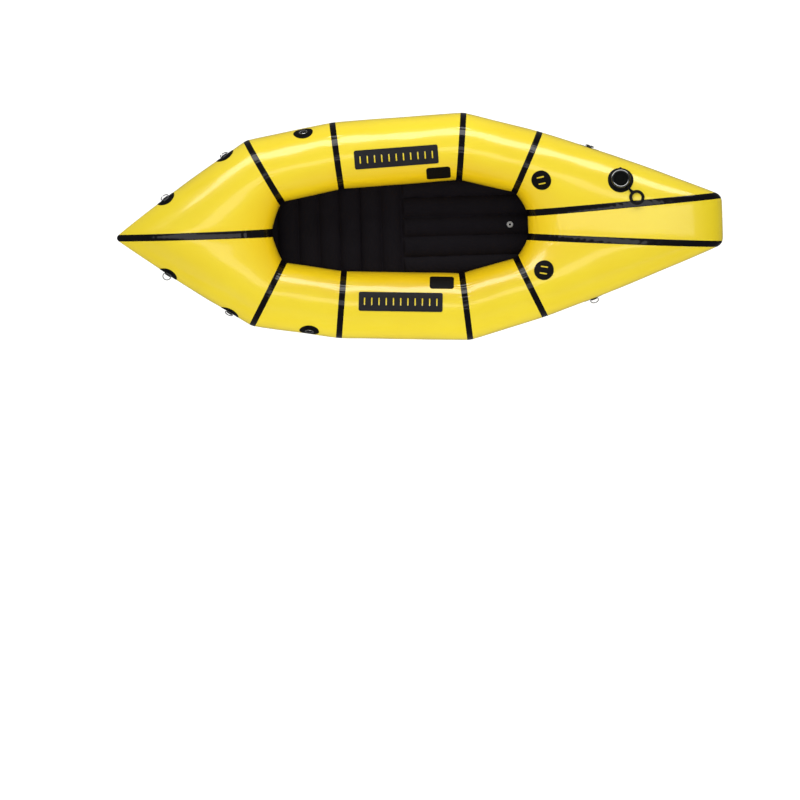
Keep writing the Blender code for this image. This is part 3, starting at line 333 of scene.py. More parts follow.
def skin(leg, degrees, row, offset=0.0, smooth=False):
    """Points of the fabric at an offset from it, their normals and how far they are from the nearer seam."""
    leg %= STATIONS
    turns, step = np.radians(np.asarray(degrees, float)), math.radians(0.5)
    point, tangent, run, left = bare_path(leg, turns, row)
    around = bare_path(leg, turns + step, row)[0] - bare_path(leg, turns - step, row)[0]
    normal = unit(np.cross(around, tangent))
    seam = np.minimum(run, left)
    lift = -SKIN_INSET - SEAM_PINCH * np.exp(-(seam / SEAM_PINCH_REACH) ** 2)
    if not smooth:
        lift = lift + pucker(leg, turns, run) + pucker(leg + 1, turns, left)
        phases = SLACK_PHASES[leg]
        ease = 1 - np.exp(-seam / 0.06)
        slack = [
            share * np.sin(around_tube * turns + along_tube * run + phase)
            for (around_tube, along_tube, share), phase in zip(SLACK_WAVES, phases)
        ]
        lift = lift + SLACK_HEIGHT * ease * sum(slack)
    flat = np.clip((np.abs(np.degrees(turns) % 360 - 270.0) - 4.0) / 10.0, 0.0, 1.0)
    into_end = {0: left, 4: run, 6: left, 10: run}.get(leg, 0.0 * run)
    resting = np.exp(-into_end / 0.10) if leg != STERN_STATION else 0.0
    lift = lift * (1 - 0.65 * (1 - flat) * resting)
    for bar, depth in RING_FLATS:
        lift = lift - depth * np.exp(-np.sum((point - bar) ** 2, -1) / RING_FLAT_REACH ** 2)
    return point + normal * (lift + offset)[..., None], normal, seam


def leg_length(leg):
    return float(np.linalg.norm(section(leg + 1, np.zeros(1)) - section(leg, np.zeros(1))))


SEAM_ROWS = (0, 0.0035, 0.007, 0.010, 0.013, 0.0165, 0.020, 0.025, 0.030, 0.038, 0.046)


def leg_rows(leg, fine=0.010):
    """Rows from one seam up to the next: close together beside the seams, evenly spaced between them."""
    margin = 0.030 if leg == STERN_STATION else 0.046
    near = [d for d in SEAM_ROWS if d <= margin]
    count = max(3, round((leg_length(leg) - 2 * margin) / fine))
    rows = [(d, 0.0, 0.0) for d in near]
    rows += [(margin, k / count, margin) for k in range(1, count)]
    return rows + [(0.0, 1.0, d) for d in reversed(near)]


def place_on_leg(leg, row):
    length = leg_length(leg)
    place = leg + (row[0] + row[1] * (length - row[0] - row[2])) / length
    return min(place, STATIONS - place)


def wear_edge(leg, row):
    """Angle at which the wear strip's outer edge runs: a smooth line through the places where it was set."""
    place = place_on_leg(leg, row)
    window = min(0.22, place, STERN_STATION - place) if place < STERN_STATION else 0.0
    window = max(0.0, window)
    spots = [place + window * step for step in (-1, -0.5, 0, 0.5, 1)]
    return float(np.mean(np.interp(spots, WEAR_EDGE_PLACES, WEAR_EDGE_ANGLES)))


def linked(name, data):
    obj = bpy.data.objects.new(name, data)
    bpy.context.scene.collection.objects.link(obj)
    return obj


def creased(mesh, degrees=None):
    """Smooth shading, broken at edges that bend by more than so many degrees."""
    mesh.shade_smooth()
    if degrees:
        mesh.set_sharp_from_angle(angle=math.radians(degrees))


def finished(name, points, faces, finish, uv=None, sharp=None):
    """A mesh object at the origin. uv holds the cloth's own metres for each point."""
    mesh = bpy.data.meshes.new(name)
    mesh.from_pydata([tuple(p) for p in points], [], faces)
    mesh.update()
    if uv is not None:
        layer = mesh.uv_layers.new(name="cloth")
        loops = np.empty(len(mesh.loops), np.int32)
        mesh.loops.foreach_get("vertex_index", loops)
        layer.data.foreach_set("uv", np.asarray(uv, np.float32)[loops].reshape(-1))
    creased(mesh, sharp)
    mesh.materials.append(finish)
    return linked(name, mesh)


def grid_faces(rows, columns, closed, start=0, flip=False):
    index = start + np.arange(rows * columns).reshape(rows, columns)
    if closed:
        index = np.concatenate([index, index[:, :1]], axis=1)
    a, b, c, d = index[:-1, :-1], index[:-1, 1:], index[1:, 1:], index[1:, :-1]
    order = (a, d, c, b) if flip else (a, b, c, d)
    return np.stack(order, axis=-1).reshape(-1, 4).tolist()


def cloth_uv(grid):
    """Metres along and around a grid, measured on the grid itself."""
    across = np.linalg.norm(np.diff(grid, axis=1), axis=-1).mean(0)
    down = np.linalg.norm(np.diff(grid, axis=0), axis=-1).mean(1)
    v = np.concatenate([[0], np.cumsum(across)])
    u = np.concatenate([[0], np.cumsum(down)])
    return np.stack(np.meshgrid(u, v, indexing="ij"), axis=-1).reshape(-1, 2)


def shell(name, outer, inner, finish, sharp=40.0):
    """A strip with its thickness: outer and inner grids joined along all four edges."""
    rows, columns, _ = outer.shape
    count = rows * columns
    faces = grid_faces(rows, columns, False) + grid_faces(rows, columns, False, count, flip=True)
    index = np.arange(count).reshape(rows, columns)
    border = np.concatenate([index[0, :-1], index[:-1, -1], index[-1, :0:-1], index[:0:-1, 0]])
    for a, b in zip(border, np.roll(border, -1)):
        faces.append([int(b), int(a), int(a) + count, int(b) + count])
    uv = cloth_uv(outer)
    points = np.concatenate([outer.reshape(-1, 3), inner.reshape(-1, 3)])
    return finished(name, points, faces, finish, np.concatenate([uv, uv]), sharp=sharp)


def outwards(obj, merge=0.0, sliver=0.0):
    """Turn every face outwards, once points closer than merge are one and slivers under sliver are gone."""
    bm = bmesh.new()
    bm.from_mesh(obj.data)
    if merge:
        bmesh.ops.remove_doubles(bm, verts=bm.verts, dist=merge)
    if sliver:
        bmesh.ops.dissolve_degenerate(bm, edges=bm.edges, dist=sliver)
        flat = [face for face in bm.faces if face.calc_area() < 1e-12]
        bmesh.ops.delete(bm, geom=flat, context="FACES")
    bmesh.ops.recalc_face_normals(bm, faces=bm.faces)
    bm.to_mesh(obj.data)
    bm.free()
    return obj


def settled(obj):
    """The piece with its modifiers worked into a plain mesh."""
    bpy.context.view_layer.update()
    mesh = bpy.data.meshes.new_from_object(obj.evaluated_get(bpy.context.evaluated_depsgraph_get()))
    obj.modifiers.clear()
    obj.data = mesh
    return obj


def place_piece(obj, body, slot, *nodes):
    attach(obj, body)
    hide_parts(*nodes)


ROOT = "raft"
COLUMNS, TAPE_COLUMNS, WEAR_COLUMNS = 300, 260, 96


# Finishes

def hull_finish():
    """Bright yellow coated fabric, blown up hard: glossy, a little uneven, with a fine weave under it, and
    painted shade in a deeper orange on faces turned towards the cockpit.
    """
    finish = Finish("hull_yellow", Coat_Weight=0.9, Coat_Roughness=0.13, Specular_IOR_Level=0.5)
    place, cloth = finish.place(), finish.cloth()
    patches = finish.noise(place, 3.5, 4.0)
    speckle = finish.noise(place, 160.0, 2.0)
    colour = finish.mix((0.860, 0.650, 0.010), (0.880, 0.685, 0.014), patches.between(0.3, 0.7))
    # Painted shade: faces turned in towards the cockpit are mixed towards a deeper orange, standing in for the
    # shade and the yellow light bounced between the tubes there.
    colour = finish.mix(colour, (0.86, 0.56, 0.004), finish.inward().between(0.0, 0.85) * 0.85)
    colour = finish.mix(colour, (0.80, 0.58, 0.014), speckle.between(0.66, 0.82) * 0.10)
    weave = finish.waves(cloth, 520.0, "X") + finish.waves(cloth, 520.0, "Y")
    fine = finish.bump(weave, 0.00002, 0.35)
    soft = finish.bump(finish.noise(place, 22.0, 3.0), 0.0006, 0.14, fine)
    rough = finish.noise(place, 30.0, 4.0) * 0.10 + 0.30
    return finish.paint(Base_Color=colour, Roughness=rough, Normal=soft)


def tape_finish():
    """Glossy black welding tape."""
    finish = Finish("tape_black", Coat_Weight=0.5, Coat_Roughness=0.04, Specular_IOR_Level=0.12)
    place, cloth = finish.place(), finish.cloth()
    colour = finish.mix((0.0012, 0.0008, 0.0012), (0.0030, 0.0022, 0.0030), finish.noise(place, 40.0, 4.0))
    ripple = finish.noise(finish.stretched(cloth, (40.0, 130.0, 1.0)), 1.0, 3.0)
    normal = finish.bump(ripple, 0.0009, 0.35, finish.bump(finish.noise(place, 600.0), 0.00004, 0.5))
    rough = finish.noise(place, 60.0, 4.0) * 0.14 + 0.16
    return finish.paint(Base_Color=colour, Roughness=rough, Normal=normal)


def wear_finish():
    """Satin black wear strip: fine streaks along it, and pale scuffs where it has been dragged."""
    finish = Finish("wear_black", Specular_IOR_Level=0.5)
    place, cloth = finish.place(), finish.cloth()
    streaks = finish.noise(finish.stretched(cloth, (6.0, 420.0, 1.0)), 1.0, 5.0, 0.6)
    scuffs = finish.noise(finish.stretched(cloth, (9.0, 60.0, 1.0)), 1.0, 6.0, 0.7).between(0.60, 0.78)
    colour = finish.mix((0.007, 0.007, 0.008), (0.022, 0.022, 0.025), streaks.between(0.3, 0.7))
    colour = finish.mix(colour, (0.075, 0.075, 0.080), scuffs * 0.35)
    rough = streaks * 0.26 + 0.24 + scuffs * 0.12
    grain = finish.bump(finish.noise(place, 700.0, 2.0), 0.00006, 0.6)
    normal = finish.bump(finish.noise(place, 26.0, 3.0), 0.0008, 0.5, finish.bump(streaks, 0.0001, 0.5, grain))
    return finish.paint(Base_Color=colour, Roughness=rough, Normal=normal)


def floor_finish():
    """Dark grey coated floor sheet, satin, with soft creases."""
    finish = Finish("floor_grey", Specular_IOR_Level=0.5)
    place = finish.place()
    cloud = finish.noise(place, 7.0, 5.0, 0.6)
    colour = finish.mix((0.022, 0.021, 0.024), (0.036, 0.035, 0.039), cloud.between(0.3, 0.7))
    scuffs = finish.noise(finish.stretched(place, (14.0, 60.0, 1.0)), 1.0, 6.0, 0.7).between(0.62, 0.8)
    colour = finish.mix(colour, (0.11, 0.11, 0.115), scuffs * 0.3)
    creases = finish.bump(finish.noise(place, 34.0, 4.0, 0.6), 0.0012, 0.5)
    normal = finish.bump(finish.noise(place, 800.0, 2.0), 0.00005, 0.5, creases)
    return finish.paint(Base_Color=colour, Roughness=cloud * 0.2 + 0.33, Normal=normal)


def mat_finish():
    """Matt black mat fabric: a close plain weave that drinks the light."""
    finish = Finish("mat_black", Specular_IOR_Level=0.10)
    place = finish.place()
    dust = finish.noise(place, 14.0, 5.0, 0.6)
    colour = finish.mix((0.0036, 0.0029, 0.0050), (0.0084, 0.0070, 0.0104), dust)
    weave = finish.waves(place, 420.0, "X") * finish.waves(place, 420.0, "Y")
    folds = finish.bump(finish.noise(finish.stretched(place, (60.0, 22.0, 30.0)), 1.0, 3.0), 0.0015, 0.4)
    normal = finish.bump(weave, 0.00012, 0.6, folds)
    return finish.paint(Base_Color=colour, Roughness=dust * 0.12 + 0.62, Normal=normal)


def patch_finish(name, dark, light, rough):
    """Patch cloth with a visible plain weave."""
    finish = Finish(name, Specular_IOR_Level=0.12)
    place, cloth = finish.place(), finish.cloth()
    cloud = finish.noise(place, 30.0, 4.0)
    weave = finish.waves(cloth, 320.0, "X") * finish.waves(cloth, 320.0, "Y")
    colour = finish.mix(dark, light, cloud * 0.6 + weave * 0.4)
    normal = finish.bump(weave, 0.00015, 0.7, finish.bump(finish.noise(place, 60.0, 3.0), 0.0005, 0.3))
    return finish.paint(Base_Color=colour, Roughness=cloud * 0.12 + rough, Normal=normal)


def webbing_finish():
    """Black webbing, ribbed across, with a herringbone along it."""
    finish = Finish("webbing_black", Specular_IOR_Level=0.35, Sheen_Weight=0.25)
    cloth = finish.cloth()
    ribs = finish.waves(cloth, 300.0, "X")
    slant = finish.waves(cloth, 210.0, "DIAGONAL")
    colour = finish.mix((0.0035, 0.0035, 0.004), (0.013, 0.013, 0.014), ribs * 0.5 + slant * 0.5)
    normal = finish.bump(ribs * 0.6 + slant * 0.4, 0.00035, 0.8)
    return finish.paint(Base_Color=colour, Roughness=slant * 0.1 + 0.68, Normal=normal)


def steel_finish():
    """Polished stainless steel with hairline marks."""
    finish = Finish("ring_steel", Metallic=1.0, Specular_IOR_Level=0.5)
    place = finish.place()
    marks = finish.noise(finish.stretched(place, (300.0, 900.0, 600.0)), 1.0, 4.0)
    colour = finish.mix((0.62, 0.62, 0.63), (0.80, 0.80, 0.81), marks)
    rough = marks * 0.14 + 0.12
    return finish.paint(Base_Color=colour, Roughness=rough, Normal=finish.bump(marks, 0.00003, 0.4))


def moulded_finish(name, dark, light, rough, grain=0.00005, **sockets):
    """Moulded plastic or rubber with a faint grain and handling marks."""
    finish = Finish(name, **sockets)
    place = finish.place()
    cloud = finish.noise(place, 45.0, 4.0)
    normal = finish.bump(finish.noise(place, 900.0, 2.0), grain, 0.6)
    colour = finish.mix(dark, light, cloud)
    return finish.paint(Base_Color=colour, Roughness=cloud * 0.14 + rough, Normal=normal)


YELLOW = hull_finish()
TAPE = tape_finish()
WEAR = wear_finish()
FLOOR = floor_finish()
MAT = mat_finish()
SLATE = patch_finish("ladder_slate", (0.0125, 0.0122, 0.0140), (0.0240, 0.0234, 0.0270), 0.42)
PATCH = patch_finish("patch_black", (0.0018, 0.0016, 0.0019), (0.0052, 0.0049, 0.0055), 0.46)
WEBBING = webbing_finish()
STEEL = steel_finish()
PLASTIC = moulded_finish(
    "valve_black", (0.0030, 0.0030, 0.0034), (0.0070, 0.0070, 0.0076), 0.14, Specular_IOR_Level=0.30
)
MATT = moulded_finish(
    "valve_matt_black", (0.0012, 0.0014, 0.0013), (0.0032, 0.0036, 0.0034), 0.50, 0.00012,
    Specular_IOR_Level=0.05,
)
GLOSS = moulded_finish(
    "valve_rim_black", (0.0030, 0.0030, 0.0034), (0.0070, 0.0070, 0.0080), 0.04,
    Specular_IOR_Level=1.0, Coat_Weight=1.0,
)
RUBBER = moulded_finish(
    "leash_rubber", (0.0014, 0.0014, 0.0017), (0.0040, 0.0040, 0.0044), 0.36, 0.0001, Specular_IOR_Level=0.18
)
SILVER = moulded_finish("mat_valve_silver", (0.34, 0.345, 0.355), (0.46, 0.465, 0.475), 0.24, Metallic=0.35)
THREAD = moulded_finish("thread_black", (0.02, 0.02, 0.022), (0.05, 0.05, 0.052), 0.6, 0.0001)


# Hull

def hull_panels():
    """Eleven blown-up panels, each a closed tube length with a cap at each seam."""
    degrees = np.arange(COLUMNS) * (360.0 / COLUMNS)
    skins_made = []
    for leg in range(STATIONS):
        rows = leg_rows(leg)
        grid = np.stack([skin(leg, degrees, row)[0] for row in rows])
        first, last = grid[0].mean(0), grid[-1].mean(0)
        count = len(rows) * COLUMNS
        points = np.concatenate([grid.reshape(-1, 3), [first, last]])
        faces = grid_faces(len(rows), COLUMNS, True)
        end = count - COLUMNS
        for c in range(COLUMNS):
            n = (c + 1) % COLUMNS
            faces.append([n, c, count])
            faces.append([end + c, end + n, count + 1])
        uv = cloth_uv(grid)
        uv = np.concatenate([uv, uv[:1], uv[-1:]])
        panel = finished(PANEL_NAMES[leg] + "_fabric", points, faces, YELLOW, uv, sharp=60.0)
        skins_made.append((panel, points, faces))
    return skins_made


panels = hull_panels()
starts = np.cumsum([0] + [len(points) for _, points, _ in panels]).tolist()
HULL = BVHTree.FromPolygons(
    [tuple(p) for _, points, _ in panels for p in points],
    [[v + start for v in face] for (_, _, faces), start in zip(panels, starts) for face in faces],
)


def seam_tapes():
    """A tape over each seam, from the wear strip round to the floor's weld, puckered with the fabric."""
    for station in range(STATIONS):
        wide = 1.22 if station == 0 else 1.0
        near = [wide * d for d in (0.013, 0.0118, 0.0095, 0.007, 0.0035)]
        places = [(station - 1, (0.0, 1.0, d)) for d in near]
        places += [(station, (d, 0.0, 0.0)) for d in [0.0, *near[::-1]]]
        tops, lows = [], []
        for leg, row in places:
            leg %= STATIONS
            degrees = np.linspace(wear_edge(leg, row) + 0.1, 360.0 + FLOOR_ANGLE - 2.5, TAPE_COLUMNS)
            thin = 0.45 if row[0] + row[2] == near[0] else 1.0
            tops.append(skin(leg, degrees, row, LAYER_TOP * thin)[0])
            lows.append(skin(leg, degrees, row, LAYER_LOW)[0])
        tape = shell(TAPE_NAMES[station] + "_skin", np.stack(tops), np.stack(lows), TAPE)
        place_piece(tape, ROOT, "seam_tape", TAPE_NAMES[station])


def wear_strips():
    """The broad black strip under the hull. Each seam's tape shows through it as a low double ridge."""
    strips = (
        ("wear_strip_starboard", (0, 1, 2, 3, 4)),
        ("wear_strip_stern", (5,)),
        ("wear_strip_port", (6, 7, 8, 9, 10)),
    )
    columns = np.arange(WEAR_COLUMNS)
    for name, legs in strips:
        tops, lows = [], []
        for leg in legs:
            rows = leg_rows(leg, 0.008)
            for row in rows if leg == legs[-1] else rows[:-1]:
                degrees = np.linspace(FLOOR_ANGLE - 0.20, wear_edge(leg, row), WEAR_COLUMNS)
                low, normal, seam = skin(leg, degrees, row, LAYER_LOW)
                ridge = 1 / (1 + np.exp((seam - TAPE_HALF - 0.001) / 0.0009))
                dip = np.exp(-(seam / 0.0085) ** 2) * 0.45
                rim = np.clip(np.minimum(columns, columns[::-1]) / 2.0, 0.35, 1.0)
                weld = 0.0004 * np.exp(-(((degrees - FLOOR_ANGLE - 3.0) / 0.6) ** 2))
                lift = (WEAR_TOP + WEAR_BUMP * ridge * (1 - dip)) * rim - weld
                tops.append(low + normal * (lift - LAYER_LOW)[:, None])
                lows.append(low)
        strip = shell(name + "_skin", np.stack(tops), np.stack(lows), WEAR)
        place_piece(strip, ROOT, "wear_fabric", name)


seam_tapes()
wear_strips()


# Floor and mat

MAT_FRONT, MAT_REAR, MAT_SPLIT = -0.700, 0.515, -0.075
MAT_THICKNESS, MAT_VALLEY, MAT_SIDE_CLEARANCE = 0.055, 0.014, 0.012
MAT_CROSS_RIBS, MAT_RIB_WIDTH = 7, 0.086
MAT_VALVE_X = 0.390
FLOOR_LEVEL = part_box("floor_sheet")[0].z + 0.001
DRAIN_SHARES = (0.035, 0.275, 0.50, 0.725, 0.965)


MAT_EDGE = [section(station, np.radians([FLOOR_ANGLE - 18.0]))[0] for station in (1, 2, 3, 4)]
MAT_SIDES = [(x, y - MAT_SIDE_CLEARANCE) for x, y, _ in MAT_EDGE]
MAT_CORNERS = [(MAT_FRONT, MAT_SIDES[0][1] * 0.68), *MAT_SIDES, (MAT_REAR, MAT_SIDES[-1][1] * 0.55)]


def round_edge(share):
    """Height share on a quarter round: 0 at its foot, 1 where it is full."""
    return np.sqrt(np.maximum(0.0, 1 - (1 - share) ** 2))


def mat_half_width(x):
    """Half the mat's width, its corners eased and its two ends rounded."""
    xs, halves = zip(*MAT_CORNERS)
    spots = np.asarray(x, float)[..., None] + np.linspace(-0.05, 0.05, 11)
    half = np.interp(spots, xs, halves).mean(-1)
    end = np.clip(np.minimum(x - MAT_FRONT, MAT_REAR - x) / 0.06, 0.0, 1.0)
    return half * (0.80 + 0.20 * round_edge(end))


def rib_profile(share):
    """Height share across one rib: full and rounded, with a narrow valley at each weld."""
    side = np.abs(2 * share - 1)
    return np.power(np.clip(1 - np.power(side, 2.1), 0, 1), 0.75)


def cross_ribs(x):
    return rib_profile((x - MAT_FRONT) / (MAT_SPLIT - MAT_FRONT) * MAT_CROSS_RIBS % 1.0)


def long_ribs(y):
    return rib_profile((y / MAT_RIB_WIDTH + 0.5) % 1.0)


def mat_surface(x, y):
    """Height of the mat's top above its underside."""
    half = mat_half_width(x)
    change = 1 / (1 + np.exp(-(x - MAT_SPLIT) / 0.004))
    split = np.exp(-(((x - MAT_SPLIT) / 0.007) ** 2))
    lift = (cross_ribs(x) * (1 - change) + long_ribs(y) * change) * (1 - 0.6 * split)
    border = np.clip((half - np.abs(y)) / 0.016, 0.0, 1.0)
    ends = np.clip(np.minimum(x - MAT_FRONT, MAT_REAR - x) / 0.016, 0.0, 1.0)
    rim = np.minimum(border, ends)
    rib_ends = np.clip((half - np.abs(y) - 0.010) / 0.030, 0.0, 1.0)
    lift = lift * round_edge(rib_ends)
    full = MAT_THICKNESS - MAT_VALLEY * (1 - lift)
    beside_edge = np.exp(-np.maximum(0, half - np.abs(y) - 0.02) / 0.03)
    creases = 0.0006 * np.sin(x * 190 + 9 * np.sin(y * 31)) * beside_edge
    low = 0.020
    return low + (full + creases * lift - low) * round_edge(rim)


def air_mat():
    """The air mat, with its crosswise ribs in front and lengthwise ribs behind."""
    xs = np.linspace(MAT_FRONT, MAT_REAR, 420)
    shares = np.linspace(-1, 1, 150)
    shares = np.sign(shares) * (1 - (1 - np.abs(shares)) ** 1.25)
    x, share = np.meshgrid(xs, shares, indexing="ij")
    half = mat_half_width(x)
    y = half * share
    base = FLOOR_LEVEL + 0.0004
    top = points_at(x, y, base + mat_surface(x, y))
    low = points_at(x, y, base + 0.006 * (1 - np.clip((half - np.abs(y)) / 0.02, 0, 1)) ** 2)
    return shell("floor_mat_air", top, low, MAT, sharp=70.0)


def floor_sheet():
    """The floor sheet, tight to the tube all round, with the mat's ribs showing through."""
    rows = [(leg, row) for leg in range(STATIONS) for row in leg_rows(leg, 0.012)[:-1]]
    rim = np.stack([skin(leg, [FLOOR_ANGLE], row, 0.0004, smooth=True)[0][0] for leg, row in rows])
    centre = points_at(np.clip(rim[:, 0], MAT_FRONT + 0.06, MAT_REAR - 0.06), 0.0, 0.0)
    shares = np.concatenate([np.linspace(0, 0.62, 26)[:-1], np.linspace(0.62, 1, 34)])[::-1]
    grid = rim[:, None] * shares[None, :, None] + centre[:, None] * (1 - shares)[None, :, None]
    x, y = grid[..., 0], grid[..., 1]
    inside = mat_half_width(np.clip(x, MAT_FRONT, MAT_REAR)) + 0.012 - np.abs(y)
    inside = np.minimum(inside, np.minimum(x - MAT_FRONT + 0.012, MAT_REAR + 0.012 - x))
    room = np.linalg.norm((rim[:, None] - grid)[..., :2], axis=-1)
    slope = np.clip(-inside / np.maximum(1e-6, room - inside), 0.0, 1.0)
    turn = np.arctan2(y, x - np.clip(x, -0.55, 0.38))
    gather = 0.0024 * np.sin(46 * turn + 2 * np.sin(9 * turn)) * np.exp(-room / 0.06) * (slope > 0)
    gather = gather * np.clip(room / 0.006, 0, 1) * np.clip(slope * 4, 0, 1)
    grid[..., 2] = FLOOR_LEVEL + (rim[:, None, 2] - FLOOR_LEVEL) * slope + gather
    prints = np.where(x < MAT_SPLIT, cross_ribs(x), long_ribs(y))
    under = grid.copy()
    press = np.clip(inside / 0.02, 0, 1)
    under[..., 2] -= 0.0008 + 0.0034 * prints * press
    closed = [np.concatenate([layer, layer[:1]]) for layer in (grid, under)]
    return outwards(shell("floor_sheet_fabric", *closed, FLOOR), 0.00002, 0.00001)


mat = air_mat()
place_piece(mat, ROOT, "mat_fabric", "floor_mat")
sheet = floor_sheet()


def cut_away(obj, cutter):
    """Cut one solid out of a piece, and leave a plain mesh."""
    modifier = obj.modifiers.new("cut", "BOOLEAN")
    modifier.operation = "DIFFERENCE"
    modifier.solver = "EXACT"
    modifier.object = cutter
    settled(obj)
    bpy.data.objects.remove(cutter, do_unlink=True)


def arc(x, y, radius, turns):
    return [(x + radius * math.cos(t), y + radius * math.sin(t)) for t in turns]


def circle(diameter, segments, x=0.0):
    return arc(x, 0.0, diameter / 2, [2 * math.pi * i / segments for i in range(segments)])


def turned(name, profile, segments, matrix, finish, ring=False):
    """A turned piece: (radius, height) points swung round the axis of a frame."""
    bm = bmesh.new()
    rings = []
    for radius, height in profile:
        if radius == 0:
            rings.append([bm.verts.new((0, 0, height))])
            continue
        rings.append([bm.verts.new((x, y, height)) for x, y in circle(2 * radius, segments)])
    pairs = list(zip(rings, rings[1:] + rings[:1]))
    for low, high in pairs if ring else pairs[:-1]:
        for i in range(segments):
            n = (i + 1) % segments
            corners = [low[i % len(low)], low[n % len(low)], high[n % len(high)], high[i % len(high)]]
            corners = list(dict.fromkeys(corners))
            if len(corners) > 2:
                bm.faces.new(corners)
    bmesh.ops.recalc_face_normals(bm, faces=bm.faces)
    bm.transform(matrix)
    mesh = bpy.data.meshes.new(name)
    bm.to_mesh(mesh)
    bm.free()
    creased(mesh, 30.0)
    mesh.materials.append(finish)
    return linked(name, mesh)


def plug(name, radius, low, high, segments, matrix, finish):
    """A plain round bar."""
    return turned(name, [(0, low), (radius, low), (radius, high), (0, high)], segments, matrix, finish)


def painted_within(obj, matrix, radius, finish):
    """Another finish on the upward faces within a radius of the axis of a turned piece."""
    obj.data.materials.append(finish)
    inverse = matrix.inverted()
    for face in obj.data.polygons:
        spot = inverse @ face.center
        if math.hypot(spot.x, spot.y) < radius and face.normal.dot(matrix.col[2].to_3d()) > 0.5:
            face.material_index = 1


def joined(name, pieces, sharp=None):
    """Several pieces as one, each with its own finish."""
    bm = bmesh.new()
    finishes = []
    for piece in pieces:
        start = len(bm.faces)
        bm.from_mesh(piece.data)
        bm.faces.ensure_lookup_table()
        for face in bm.faces[start:]:
            own = piece.data.materials[face.material_index]
            if own not in finishes:
                finishes.append(own)
            face.material_index = finishes.index(own)
        bpy.data.objects.remove(piece, do_unlink=True)
    mesh = bpy.data.meshes.new(name)
    bm.to_mesh(mesh)
    bm.free()
    for own in finishes:
        mesh.materials.append(own)
    if sharp:
        creased(mesh, sharp)
    return linked(name, mesh)


DRAIN_RADIUS = 0.012


def drains():
    """Ten round holes through the floor sheet beside the tubes."""
    pieces = []
    for leg in (2, 8):
        for share in DRAIN_SHARES:
            edge = bare_path(leg, np.radians([FLOOR_ANGLE]), (0.0, share, 0.0))[0][0]
            y = math.copysign(abs(edge[1]) - 0.030, edge[1])
            spot = Matrix.Translation((edge[0], y, edge[2]))
            pieces.append(plug("drain", DRAIN_RADIUS, -0.012, 0.012, 40, spot, FLOOR))
    return joined("drains", pieces)


cut_away(sheet, drains())
place_piece(sheet, ROOT, "floor_fabric", "floor_sheet")


# Patches that lie on the hull

def dropped(matrix, x, y):
    """The hull's skin under a point of a frame, and its normal."""
    hit, normal, _, _ = HULL.ray_cast(matrix @ Vector((x, y, 0.06)), -matrix.col[2].to_3d())
    if hit is None:
        hit, normal, _, _ = HULL.find_nearest(matrix @ Vector((x, y, 0)))
    return hit, normal


def inside_loop(point, loop):
    x, y = point
    odd = False
    for (ax, ay), (bx, by) in zip(loop, loop[1:] + loop[:1]):
        if (ay > y) != (by > y) and x < (bx - ax) * (y - ay) / (by - ay) + ax:
            odd = not odd
    return odd


def finer(loop, step):
    points = []
    for (ax, ay), (bx, by) in zip(loop, loop[1:] + loop[:1]):
        count = max(1, math.ceil(math.hypot(bx - ax, by - ay) / step))
        points += [(ax + (bx - ax) * k / count, ay + (by - ay) * k / count) for k in range(count)]
    return points


def within(point, loops):
    """Whether a point lies inside the first loop and outside the others."""
    return inside_loop(point, loops[0]) and not any(inside_loop(point, hole) for hole in loops[1:])


def slab(loops, more, merge):
    """An outline with holes cut from a slab: one layer's points, and the faces of both layers and the rim."""
    points, edges = [], []
    for loop in loops:
        start = len(points)
        points += [Vector(p) for p in loop]
        edges += [(start + i, start + (i + 1) % len(loop)) for i in range(len(loop))]
    flat, _, faces, _, _, _ = delaunay_2d_cdt(points + more, edges, [], 0, merge)
    middles = [sum((flat[i] for i in face), Vector((0, 0))) / len(face) for face in faces]
    kept = [list(face) for face, middle in zip(faces, middles) if within(middle, loops)]
    used = dict.fromkeys((a, b) for face in kept for a, b in zip(face, face[1:] + face[:1]))
    count = len(flat)
    faces = kept + [[v + count for v in reversed(face)] for face in kept]
    faces += [[b, a, a + count, b + count] for a, b in used if (b, a) not in used]
    return flat, faces


def draped_patch(name, matrix, outline, holes, finish, low, top, step=0.004):
    """A flat cut of cloth laid on the hull: it follows the skin and has its thickness and holes."""
    loops = [finer(loop, step) for loop in [outline, *holes]]
    (xs, ys), more = zip(*loops[0]), []
    for gx in np.arange(min(xs), max(xs), step):
        for gy in np.arange(min(ys), max(ys), step):
            spot = (float(gx), float(gy))
            clear = all(math.hypot(spot[0] - p[0], spot[1] - p[1]) > 0.4 * step for loop in loops for p in loop)
            if clear and within(spot, loops):
                more.append(Vector(spot))
    flat, faces = slab(loops, more, 1e-7)
    spots = [dropped(matrix, p.x, p.y) for p in flat]
    points = [tuple(hit + normal * offset) for offset in (top, low) for hit, normal in spots]
    return outwards(finished(name, points, faces, finish, [(p.x, p.y) for p in flat] * 2, sharp=50.0))


def rounded(length, width, corner, x=0.0, y=0.0, steps=6):
    """An oblong with round corners."""
    points = []
    for index, (sx, sy) in enumerate(((1, 1), (-1, 1), (-1, -1), (1, -1))):
        turns = [math.pi / 2 * (index + step / steps) for step in range(steps + 1)]
        points += arc(x + sx * (length / 2 - corner), y + sy * (width / 2 - corner), corner, turns)
    return points


def node_points(node):
    return np.array([v.co for v in frame["nodes"][node].data.vertices])


def frame_at(point, normal, along):
    z = Vector(normal).normalized()
    x = Vector(along)
    x = (x - z * x.dot(z)).normalized()
    matrix = Matrix((x, z.cross(x), z)).transposed().to_4x4()
    matrix.translation = Vector(point)
    return matrix


def side_frame(leg, share, degrees):
    point, normal, _ = skin(leg, [degrees], (0.0, share, 0.0), smooth=True)
    along = bare_path(leg, np.radians([degrees]), (0.0, share, 0.0))[1][0]
    return frame_at(point[0], normal[0], along)


def deck_frame(x, y):
    hit, normal, _, _ = HULL.ray_cast(Vector((x, y, 2.0)), Vector((0, 0, -1)))
    return frame_at(hit, normal, (1, 0, 0))


